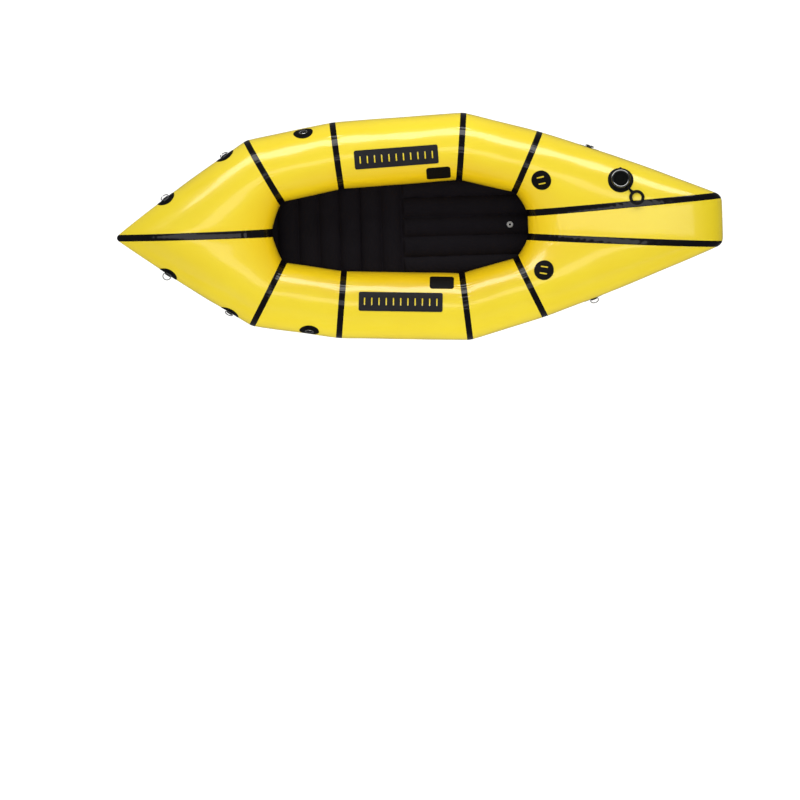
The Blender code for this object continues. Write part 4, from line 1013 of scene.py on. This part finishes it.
LADDER_SIZE, BADGE_SIZE, STRAP_DIAMETER = (0.360, 0.082, 0.008), (0.104, 0.076, 0.012), 0.086
LADDER_SLOT_PITCH = 0.031
LADDER_SLOTS = [rounded(0.0056, 0.033, 0.0026, (i - 5) * LADDER_SLOT_PITCH, steps=3) for i in range(11)]
STRAP_SLOTS = [rounded(0.033, 0.0062, 0.0028, 0.0, y, steps=3) for y in (-0.0145, 0.0145)]


def side_patches():
    """The ladder, badge and strap patches on both sides of the cockpit."""
    for side, y, turn in (("starboard", 0.192, 14), ("port", -0.192, -12)):
        port = side == "port"
        ladder, badge = (
            side_frame(*((STATIONS - 3, 1 - share) if port else (2, share)), degrees)
            for share, degrees in ((0.476, 99.0), (0.823, 139.0))
        )
        strap = deck_frame(0.527, y) @ Matrix.Rotation(math.radians(turn), 4, "Z")
        for kind, matrix, outline, holes, finish, slot, top in (
            ("ladder", ladder, rounded(*LADDER_SIZE), LADDER_SLOTS, SLATE, "patch_slate", 0.0016),
            ("badge", badge, rounded(*BADGE_SIZE), [], PATCH, "patch_black", LAYER_TOP),
            ("strap", strap, circle(STRAP_DIAMETER, 72), STRAP_SLOTS, PATCH, "patch_black", 0.0014),
        ):
            name = f"{kind}_patch_{side}"
            patch = draped_patch(name + "_cloth", matrix, outline, holes, finish, LAYER_LOW, top)
            place_piece(patch, ROOT, slot, name)


side_patches()


# D-rings

RIM_REST = 3.0  # Degrees before level at which a ring comes to rest on its patch
RING_WIRE_RADIUS = 0.002
RING_PATCH_DIAMETER, RING_PATCH_RIM = 0.085, 0.003
WEBBING_WIDTH, WEBBING_THICKNESS, WEBBING_TAIL = 0.024, 0.0011, 0.0215
WEBBING_REACH = 0.0031
STITCH_LENGTH, STITCH_RADIUS = 0.0028, 0.0004


def swept(name, path, radius, sides, finish):
    """A round bar bent along a closed path of points."""
    points = [Vector(p) for p in path]
    count = len(points)
    rings, faces = [], []
    across = Vector((0, 0, 1))
    for i, point in enumerate(points):
        ahead = (points[(i + 1) % count] - points[i - 1]).normalized()
        across = (across - ahead * across.dot(ahead)).normalized()
        other = ahead.cross(across)
        rings += [point + a * across + b * other for a, b in circle(2 * radius, sides)]
    for i in range(count):
        n = (i + 1) % count * sides
        for k in range(sides):
            a, b = i * sides + k, i * sides + (k + 1) % sides
            faces.append([a, b, n + (k + 1) % sides, n + k])
    return outwards(finished(name, rings, faces, finish))


def ring_path():
    """A D-ring's centre line about its bar."""
    half, leg, corner = 0.017, 0.007, 0.0035
    bend = math.pi / 12
    path = [(x, 0.0) for x in np.linspace(-half + corner, half - corner, 8)]
    path += arc(half - corner, corner, corner, [-math.pi / 2 + bend * step for step in range(1, 6)])
    path += arc(0.0, leg, half, [math.pi * step / 32 for step in range(33)])
    path += arc(-half + corner, corner, corner, [math.pi + bend * step for step in range(1, 6)])
    return [Vector((x, y, 0.0)) for x, y in path]


def ribbon(name, path, width, thickness, finish, matrix):
    """A strap laid along a path in a frame's YZ plane, as wide as it is along X."""
    path = [Vector((0, y, z)) for y, z in path]
    run = [0.0]
    count = len(path)
    for a, b in zip(path, path[1:]):
        run.append(run[-1] + (b - a).length)
    points, uv = [], []
    columns = 9
    for i, point in enumerate(path):
        ahead = (path[min(i + 1, count - 1)] - path[max(i - 1, 0)]).normalized()
        out = Vector((1, 0, 0)).cross(ahead)
        for side in (0.5, -0.5):
            for k in range(columns):
                x = (k / (columns - 1) - 0.5) * width
                ease = 1.0 if 0 < k < columns - 1 else 0.6
                points.append(matrix @ (point + out * (side * thickness * ease) + Vector((x, 0, 0))))
                uv.append((run[i], x))
    faces = []
    across = 2 * columns
    loop = list(range(columns)) + list(range(across - 1, columns - 1, -1))
    for i in range(count - 1):
        for a, b in zip(loop, loop[1:] + loop[:1]):
            faces.append([i * across + a, i * across + b, (i + 1) * across + b, (i + 1) * across + a])
    faces.append(loop[::-1])
    faces.append([(count - 1) * across + v for v in loop])
    return outwards(finished(name, points, faces, finish, uv, sharp=50.0))


def stitch_tree():
    """Geometry nodes that lay a short thread on every point, turned along the seam."""
    tree = bpy.data.node_groups.new("stitches", "GeometryNodeTree")
    for name, way, kind in (
        ("Spots", "INPUT", "Geometry"), ("Length", "INPUT", "Float"), ("Radius", "INPUT", "Float"),
        ("Finish", "INPUT", "Material"), ("Stitches", "OUTPUT", "Geometry"),
    ):
        tree.interface.new_socket(name, in_out=way, socket_type="NodeSocket" + kind)

    def made(kind, inputs, **settings):
        """The first output of a new node, whose inputs are values or other nodes' outputs."""
        node = tree.nodes.new(kind)
        for name, value in settings.items():
            setattr(node, name, value)
        for key, value in inputs.items():
            if isinstance(value, bpy.types.NodeSocket):
                tree.links.new(value, node.inputs[key])
            else:
                node.inputs[key].default_value = value
        return node.outputs[0]

    given = tree.nodes.new("NodeGroupInput").outputs
    half = made("ShaderNodeMath", {0: given["Length"], 1: 0.5}, operation="MULTIPLY")
    size = made("ShaderNodeCombineXYZ", {"X": half, "Y": given["Radius"], "Z": given["Radius"]})
    ball = made("GeometryNodeMeshIcoSphere", {"Subdivisions": 1, "Radius": 1.0})
    thread = made("GeometryNodeTransform", {"Geometry": ball, "Scale": size})
    aim = made("GeometryNodeInputNamedAttribute", {"Name": "aim"}, data_type="FLOAT_VECTOR")
    turn = made("FunctionNodeAlignRotationToVector", {"Vector": aim}, axis="X")
    spots = {"Points": given["Spots"], "Instance": thread, "Rotation": turn}
    laid = made("GeometryNodeRealizeInstances", {0: made("GeometryNodeInstanceOnPoints", spots)})
    smooth = made("GeometryNodeSetShadeSmooth", {0: laid})
    painted = made("GeometryNodeSetMaterial", {0: smooth, "Material": given["Finish"]})
    tree.links.new(painted, tree.nodes.new("NodeGroupOutput").inputs[0])
    return tree


STITCHES = stitch_tree()


def stitched(name, spots, finish):
    """Threads at (point, direction) spots as one plain mesh."""
    mesh = bpy.data.meshes.new(name)
    mesh.from_pydata([tuple(point) for point, _ in spots], [], [])
    aim = mesh.attributes.new("aim", "FLOAT_VECTOR", "POINT")
    aim.data.foreach_set("vector", np.array([tuple(way) for _, way in spots], np.float32).reshape(-1))
    obj = linked(name, mesh)
    modifier = obj.modifiers.new("stitches", "NODES")
    modifier.node_group = STITCHES
    given = {item.name: item.identifier for item in STITCHES.interface.items_tree if item.in_out == "INPUT"}
    for size, value in (("Length", STITCH_LENGTH), ("Radius", STITCH_RADIUS), ("Finish", finish)):
        modifier[given[size]] = value
    return settled(obj)


def box_stitch(matrix, y_from, y_to, width, pitch=0.0034):
    """Spots of a box-and-cross seam on a strap's tail."""
    corners = [(-width / 2, y_from), (width / 2, y_from), (width / 2, y_to), (-width / 2, y_to)]
    lines = list(zip(corners, corners[1:] + corners[:1])) + [(corners[0], corners[2]), (corners[1], corners[3])]
    spots = []
    for (ax, ay), (bx, by) in lines:
        length = math.hypot(bx - ax, by - ay)
        count = max(2, round(length / pitch))
        way = matrix.to_3x3() @ Vector((bx - ax, by - ay, 0)).normalized()
        for k in range(count):
            t = (k + 0.5) / count
            spots.append((matrix @ Vector((ax + (bx - ax) * t, ay + (by - ay) * t, 0)), way))
    return spots


def ring_seat(bar, axis, lie, low_limit):
    """A webbing loop's frame, and the bar's height over it. X lies on the ring's bar, the ring comes to rest
    RIM_REST degrees above Y, and the origin is level with the highest skin under the webbing."""
    level = Matrix.Rotation(math.radians(low_limit - RIM_REST), 3, axis) @ lie
    seat = frame_at(bar, axis.cross(level), axis)
    half = WEBBING_WIDTH / 2
    spots = [dropped(seat, x, y)[0] for x in np.linspace(-half, half, 5) for y in np.linspace(-0.022, 0.0, 7)]
    height = -max((seat.inverted() @ spot).z for spot in spots)
    return seat @ Matrix.Translation((0, 0, -height)), height


def d_rings():
    """Each D-ring, bright steel, and the patch and sewn webbing loop that hold its bar."""
    for name, (bar, axis, low_limit) in HINGES.items():
        if not name.startswith("d_ring"):
            continue
        lie = Vector(node_points(name).mean(0)) - bar
        lie = (lie - axis * lie.dot(axis)).normalized()
        ring_frame = frame_at(bar, axis.cross(lie), axis)
        ring = swept(name + "_steel", [ring_frame @ p for p in ring_path()], RING_WIRE_RADIUS, 16, STEEL)
        place_piece(ring, name, "ring_steel", name)
        seat, height = ring_seat(bar, axis, lie, low_limit)
        edge, inner = circle(RING_PATCH_DIAMETER, 64), circle(RING_PATCH_DIAMETER - 2 * RING_PATCH_RIM, 64)
        disc = draped_patch("disc", seat, edge, [], PATCH, LAYER_LOW, LAYER_TOP)
        rim = draped_patch("rim", seat, edge, [inner], PATCH, LAYER_TOP - 0.0003, LAYER_TOP + 0.0002)
        low, top = LAYER_TOP + 0.0005, LAYER_TOP + 0.0014
        path = [(y, low) for y in np.linspace(-WEBBING_TAIL, -0.004, 8)]
        path += arc(0.0, height, WEBBING_REACH, np.linspace(-1.75, math.pi * 1.02, 18))
        path += [(y, top) for y in np.linspace(-0.0052, -0.0210, 8)]
        loop = ribbon("loop", path, WEBBING_WIDTH, WEBBING_THICKNESS, WEBBING, seat)
        thread_frame = seat @ Matrix.Translation((0, 0, top + 0.0006))
        threads = stitched("threads", box_stitch(thread_frame, -0.0195, -0.0075, 0.019), THREAD)
        patch_name = name.replace("d_ring", "d_ring_patch")
        place_piece(joined(patch_name + "_sewn", [disc, rim, loop, threads]), ROOT, "patch_black", patch_name)


d_rings()


# Valve

def round_profile(points, radius=0.0006, steps=3):
    """The same profile with each corner eased."""
    eased = []
    for index, (x, y) in enumerate(points):
        if x == 0 or index in (0, len(points) - 1):
            eased.append((x, y))
            continue
        before, here, after = Vector(points[index - 1]), Vector((x, y)), Vector(points[index + 1])
        reach = min(radius, (before - here).length * 0.45, (after - here).length * 0.45)
        a, b = here + (before - here).normalized() * reach, here + (after - here).normalized() * reach
        for k in range(steps + 1):
            t = k / steps
            spot = a * (1 - t) ** 2 + here * (2 * t * (1 - t)) + b * t * t
            eased.append((max(0.0, spot.x), spot.y))
    return eased


def thin_way(points):
    """The direction, pointing up, across a flat cloud of points."""
    way = Vector(np.linalg.svd(points - points.mean(0))[2][2])
    return way if way.z > 0 else -way


def valve_frame():
    """The valve's axis, square to its membrane, from the hull's skin: X away from the cap's hinge."""
    points = node_points("valve_membrane")
    up, centre = thin_way(points), Vector(points.mean(0))
    foot = HULL.ray_cast(centre + up * 0.3, -up)[0]
    return frame_at(foot, up, up.cross(HINGES["valve_cap"][1]))


VALVE = valve_frame()
VALVE_PATCH_DIAMETER = 0.110


def along_valve(node):
    """Lowest and highest reach of a node along the valve's axis, counted from the hull's skin on the axis."""
    heights = [(Vector(p) - VALVE.translation).dot(VALVE.col[2].to_3d()) for p in node_points(node)]
    return min(heights), max(heights)


def valve_pieces():
    """Flange, bored neck, membrane, leash tongue and the cap with its holed lug."""
    skirt, cap_top = along_valve("valve_cap")
    floor, base_high = along_valve("valve_base")
    flap_low, _ = along_valve("valve_membrane")
    body, bore, flange, play = 0.026, 0.022, 0.042, 0.004
    leash_top = skirt - 0.0003
    leash_low = leash_top - 0.0025
    top = leash_low - 0.0003
    cut_away(panels[4][0], plug("pocket", body + play, -0.060, 0.03, 72, VALVE, YELLOW))

    outline, hole = circle(VALVE_PATCH_DIAMETER, 96), circle(2 * body + 0.0012, 72)
    patch = draped_patch("valve_patch_cloth", VALVE, outline, [hole], PATCH, LAYER_LOW, LAYER_TOP)
    place_piece(patch, ROOT, "patch_black", "valve_patch")

    inverse = VALVE.inverted()
    edge = min((inverse @ dropped(VALVE, x, y)[0]).z for x, y in circle(2 * flange, 72))
    skirt_profile = round_profile([
        (body, edge - 0.001), (flange - 0.002, edge - 0.001), (flange, edge + 0.0005), (flange, top - 0.0012),
        (flange - 0.0012, top), (body + 0.006, top), (body + 0.006, leash_top), (body, leash_top),
    ])
    neck = [(body, leash_top)]
    for share in (0.12, 0.31, 0.50, 0.69):
        z = leash_top + (base_high - leash_top) * share
        neck += [(body - 0.0006, z), (body, z + 0.0007), (body, z + 0.0012), (body - 0.0006, z + 0.0018)]
    neck += [(body - 0.0006, base_high - 0.0008), (body - 0.0012, base_high), (bore + 0.0006, base_high)]
    neck += [(bore, base_high - 0.0006), (bore, floor + 0.002), (0.0, floor + 0.002)]
    neck += [(0.0, floor), (body, floor)]
    profile = skirt_profile + neck[1:]
    base = turned("valve_base_body", profile + [(body, edge - 0.001)], 96, VALVE, PLASTIC)
    ports = []
    for x, y in circle(0.028, 6) + [(0.0, 0.0)]:
        size = 0.0045 if x or y else 0.0025
        spot = VALVE @ Matrix.Translation((x, y, 0))
        ports.append(plug("port", size, floor - 0.002, floor + 0.006, 28, spot, PLASTIC))
    cut_away(outwards(base, 1e-6), joined("ports", ports))
    away = inverse @ HINGES["valve_leash"][0]
    direction = math.atan2(away.y, away.x)
    reach = math.hypot(away.x, away.y)
    tongue = plate_piece(
        "tongue", rounded(reach - 0.00155 - body, 0.010, 0.0012, (reach - 0.00155 + body) / 2), [],
        leash_low, leash_top - 0.0003, VALVE @ Matrix.Rotation(direction, 4, "Z"), RUBBER,
    )
    place_piece(joined("valve_base_moulding", [base, tongue], 32), ROOT, "valve_plastic", "valve_base")

    flap = 0.020
    low, high = flap_low, flap_low + 0.001
    membrane = turned("valve_membrane_rubber", round_profile([
        (0, low), (flap, low + 0.0002), (flap, high - 0.0001), (0.0021, high), (0.0021, floor + 0.0023),
        (0.0042, floor + 0.0023), (0.0021, floor + 0.0044), (0, floor + 0.0044),
    ], 0.0003), 64, VALVE, RUBBER)
    place_piece(membrane, ROOT, "valve_rubber", "valve_membrane")

    thread, cap = body + 0.0005, 0.041
    inside = base_high + 0.0003
    lid = turned("lid", round_profile([
        (0, inside), (thread, inside), (thread, skirt), (cap - 0.0012, skirt), (cap, skirt + 0.0012),
        (cap, cap_top - 0.0032), (cap - 0.0009, cap_top - 0.0009), (cap - 0.0048, cap_top),
        (cap - 0.0088, cap_top - 0.0008), (cap - 0.0096, cap_top - 0.0026), (0.0262, cap_top - 0.0027),
        (0.0252, cap_top - 0.0020), (0.0240, cap_top - 0.0020), (0.0230, cap_top - 0.0027),
        (0.0120, cap_top - 0.0027), (0.0110, cap_top - 0.0018), (0, cap_top - 0.0016),
    ], 0.0007, 4), 128, VALVE, GLOSS)
    painted_within(lid, VALVE, 0.0316, MATT)
    rib = rounded(0.0011, 0.0022, 0.0005, cap - 0.0001, steps=2)
    grips = knurls(36, rib, skirt + 0.0018, cap_top - 0.0036, VALVE, PLASTIC)
    reach = inverse @ HINGES["valve_cap"][0]
    lug_frame = VALVE @ Matrix.Rotation(math.atan2(reach.y, reach.x), 4, "Z")
    end = math.hypot(reach.x, reach.y)
    outline = [(cap - 0.003, -0.007), (end - 0.007, -0.007)]
    outline += arc(end - 0.007, 0.0, 0.007, np.linspace(-1.45, 1.45, 17))
    outline += [(end - 0.007, 0.007), (cap - 0.003, 0.007)]
    hole = circle(0.0052, 28, end - 0.007)
    lug = plate_piece("lug", outline, [hole], cap_top - 0.0052, cap_top - 0.0028, lug_frame, PLASTIC)
    lid = joined("valve_cap_moulding", [lid, *grips, lug], 35)
    place_piece(lid, "valve_cap", "valve_plastic", "valve_cap")


def plate_piece(name, outline, holes, low, high, matrix, finish, ease=0.0004):
    """A flat plate with its top and bottom edges eased."""
    flat, faces = slab([outline, *holes], [], 1e-8)
    points = [(p.x, p.y, height) for height in (high, low) for p in flat]
    obj = outwards(finished(name, points, faces, finish, sharp=35.0))
    bevel = obj.modifiers.new("ease", "BEVEL")
    bevel.width = ease
    bevel.segments = 2
    bevel.limit_method = "ANGLE"
    bevel.angle_limit = math.radians(50)
    settled(obj).data.transform(matrix)
    return obj


def knurls(count, outline, low, high, matrix, finish, ease=0.0004):
    """Small ribs round a cap."""
    turns = [matrix @ Matrix.Rotation(2 * math.pi * k / count, 4, "Z") for k in range(count)]
    return [plate_piece("grip", outline, [], low, high, turn, finish, ease) for turn in turns]


def leash():
    """Strap and finger ring, soft moulded rubber lying on the deck."""
    pivot, axis, _ = HINGES["valve_leash"]
    points = node_points("valve_leash") - np.array(pivot)
    normal = thin_way(points)
    far = Vector(max(points, key=np.linalg.norm))
    along = normal.cross(axis)
    matrix = frame_at(pivot, normal, along if along.dot(far) > 0 else -along)
    reach = max(points @ np.array(matrix.col[0].to_3d()))
    ring, half, centre = 0.033, 0.005, reach - 0.033
    meet = math.asin(half / ring)
    outline = [(-0.0007, half), (-0.0007, -half), (centre - ring - 0.010, -half)]
    outline += arc(centre, 0.0, ring, np.linspace(math.pi + meet * 1.5, 3 * math.pi - meet * 1.5, 64))
    outline += [(centre - ring - 0.010, half)]
    piece = plate_piece(
        "valve_leash_rubber", outline, [circle(0.040, 64, centre)], -0.00125, 0.00125, matrix, RUBBER, 0.0009
    )
    place_piece(piece, "valve_leash", "valve_rubber", "valve_leash")


valve_pieces()
leash()
for index, (panel, _, _) in enumerate(panels):
    place_piece(panel, ROOT, "hull_fabric", PANEL_NAMES[index])


# Air mat's valve

def mat_valve():
    """The air mat's silver valve: its neck through the mat, and its knurled cap."""
    top = FLOOR_LEVEL + 0.0003 + MAT_THICKNESS
    matrix = Matrix.Translation((MAT_VALVE_X, 0, top))
    (base_low, base_high), (cap_low, cap_high) = (
        [corner.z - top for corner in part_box(node)] for node in ("mat_valve_base", "mat_valve_cap")
    )
    cut_away(mat, plug("mat_hole", 0.0088, -0.003, 0.003, 48, matrix, MAT))
    base = turned("mat_valve_neck", round_profile([
        (0.0055, base_low), (0.0085, base_low), (0.0085, 0.0003), (0.0135, 0.0003), (0.0135, 0.0018),
        (0.0085, 0.0018), (0.0085, base_high), (0.0055, base_high),
    ], 0.0005), 64, matrix, SILVER, ring=True)
    place_piece(base, ROOT, "mat_valve_plastic", "mat_valve_base")
    lid = turned("lid", round_profile([
        (0, cap_high - 0.0022), (0.0088, cap_high - 0.0022), (0.0088, cap_low), (0.0105, cap_low),
        (0.0105, cap_high - 0.0012), (0.0093, cap_high), (0.0062, cap_high), (0.0050, cap_high - 0.0010),
        (0, cap_high - 0.0010),
    ], 0.0005), 64, matrix, SILVER)
    painted_within(lid, matrix, 0.0050, MATT)
    rib = rounded(0.0009, 0.0014, 0.0004, 0.0104, steps=2)
    grips = knurls(20, rib, cap_low + 0.001, cap_high - 0.0018, matrix, SILVER, 0.0002)
    lid = joined("mat_valve_lid", [lid, *grips], 35)
    place_piece(lid, "mat_valve_cap", "mat_valve_plastic", "mat_valve_cap")


mat_valve()


# Studio

LIGHT_AIM = Vector((0.0, 0.0, 0.1))


def area_light(name, place, size, radiance, seen=True):
    """A soft light of a given brightness, aimed at the raft. One that isn't seen leaves no reflection."""
    data = bpy.data.lights.new(name, "AREA")
    data.shape = "RECTANGLE"
    data.size, data.size_y = size
    data.energy = radiance * math.pi * size[0] * size[1]
    lamp = linked(name, data)
    lamp.location = place
    lamp.rotation_euler = (LIGHT_AIM - Vector(place)).to_track_quat("-Z", "Y").to_euler()
    lamp.visible_glossy = seen


def studio():
    """Pale light table, two long soft lights and a broad weak one overhead, and the camera straight above."""
    floor = bpy.data.meshes.new("studio_floor")
    size = 14.0
    corners = [(-size, -size, 0), (size, -size, 0), (size, size, 0), (-size, size, 0)]
    floor.from_pydata(corners, [], [(0, 1, 2, 3)])
    floor_object = linked("studio_floor", floor)
    floor_object.location.z = -0.0005
    floor_object.visible_glossy = False
    pale = Finish("studio_white", Roughness=0.9, Specular_IOR_Level=0.0, Emission_Strength=1.0)
    pale.shader.inputs["Emission Color"].default_value = (1.0, 1.0, 1.0, 1.0)
    tint = pale.mix((0.18, 0.18, 0.18), (0.20, 0.20, 0.20), pale.noise(pale.place(), 2.0))
    floor.materials.append(pale.paint(Base_Color=tint))

    world = bpy.data.worlds.new("studio")
    world.use_nodes = True
    background = world.node_tree.nodes["Background"].inputs
    background["Color"].default_value = (1.0, 1.0, 1.0, 1.0)
    background["Strength"].default_value = 0.14
    scene = bpy.context.scene
    scene.world = world
    area_light("key_panel", (0.0, 3.0, 2.1), (4.6, 1.35), 4.9)
    area_light("top_strip", (0.0, 0.05, 3.6), (4.6, 0.75), 1.7)
    area_light("ceiling", (0.0, 0.0, 5.0), (8.0, 8.0), 0.66, seen=False)
    area_light("port_fill", (0.0, -4.0, 2.0), (7.0, 2.6), 2.6, seen=False)

    scene.view_settings.view_transform = "Standard"
    scene.view_settings.look = "None"
    data = bpy.data.cameras.new("above")
    scene.camera = camera = linked("above", data)
    data.sensor_fit = "HORIZONTAL"
    data.sensor_width = 36.0
    data.lens = 36.0 * CAMERA_DISTANCE / PICTURE_WIDTH
    data.clip_end = 100.0
    middle = PICTURE_PIXELS / 2
    right, down = (middle - RAFT_CENTRE_PIXEL[0]) * PIXEL_SIZE, (middle - RAFT_CENTRE_PIXEL[1]) * PIXEL_SIZE
    roll = Matrix.Rotation(math.radians(-RAFT_ROLL), 4, "Z")
    turn = roll @ Matrix.Rotation(math.radians(-CAMERA_TILT), 4, "X")
    camera.location = turn @ Vector((right, -down, CAMERA_DISTANCE)) + Vector((0, 0, CAMERA_AIM_HEIGHT))
    camera.rotation_euler = turn.to_euler()


studio()
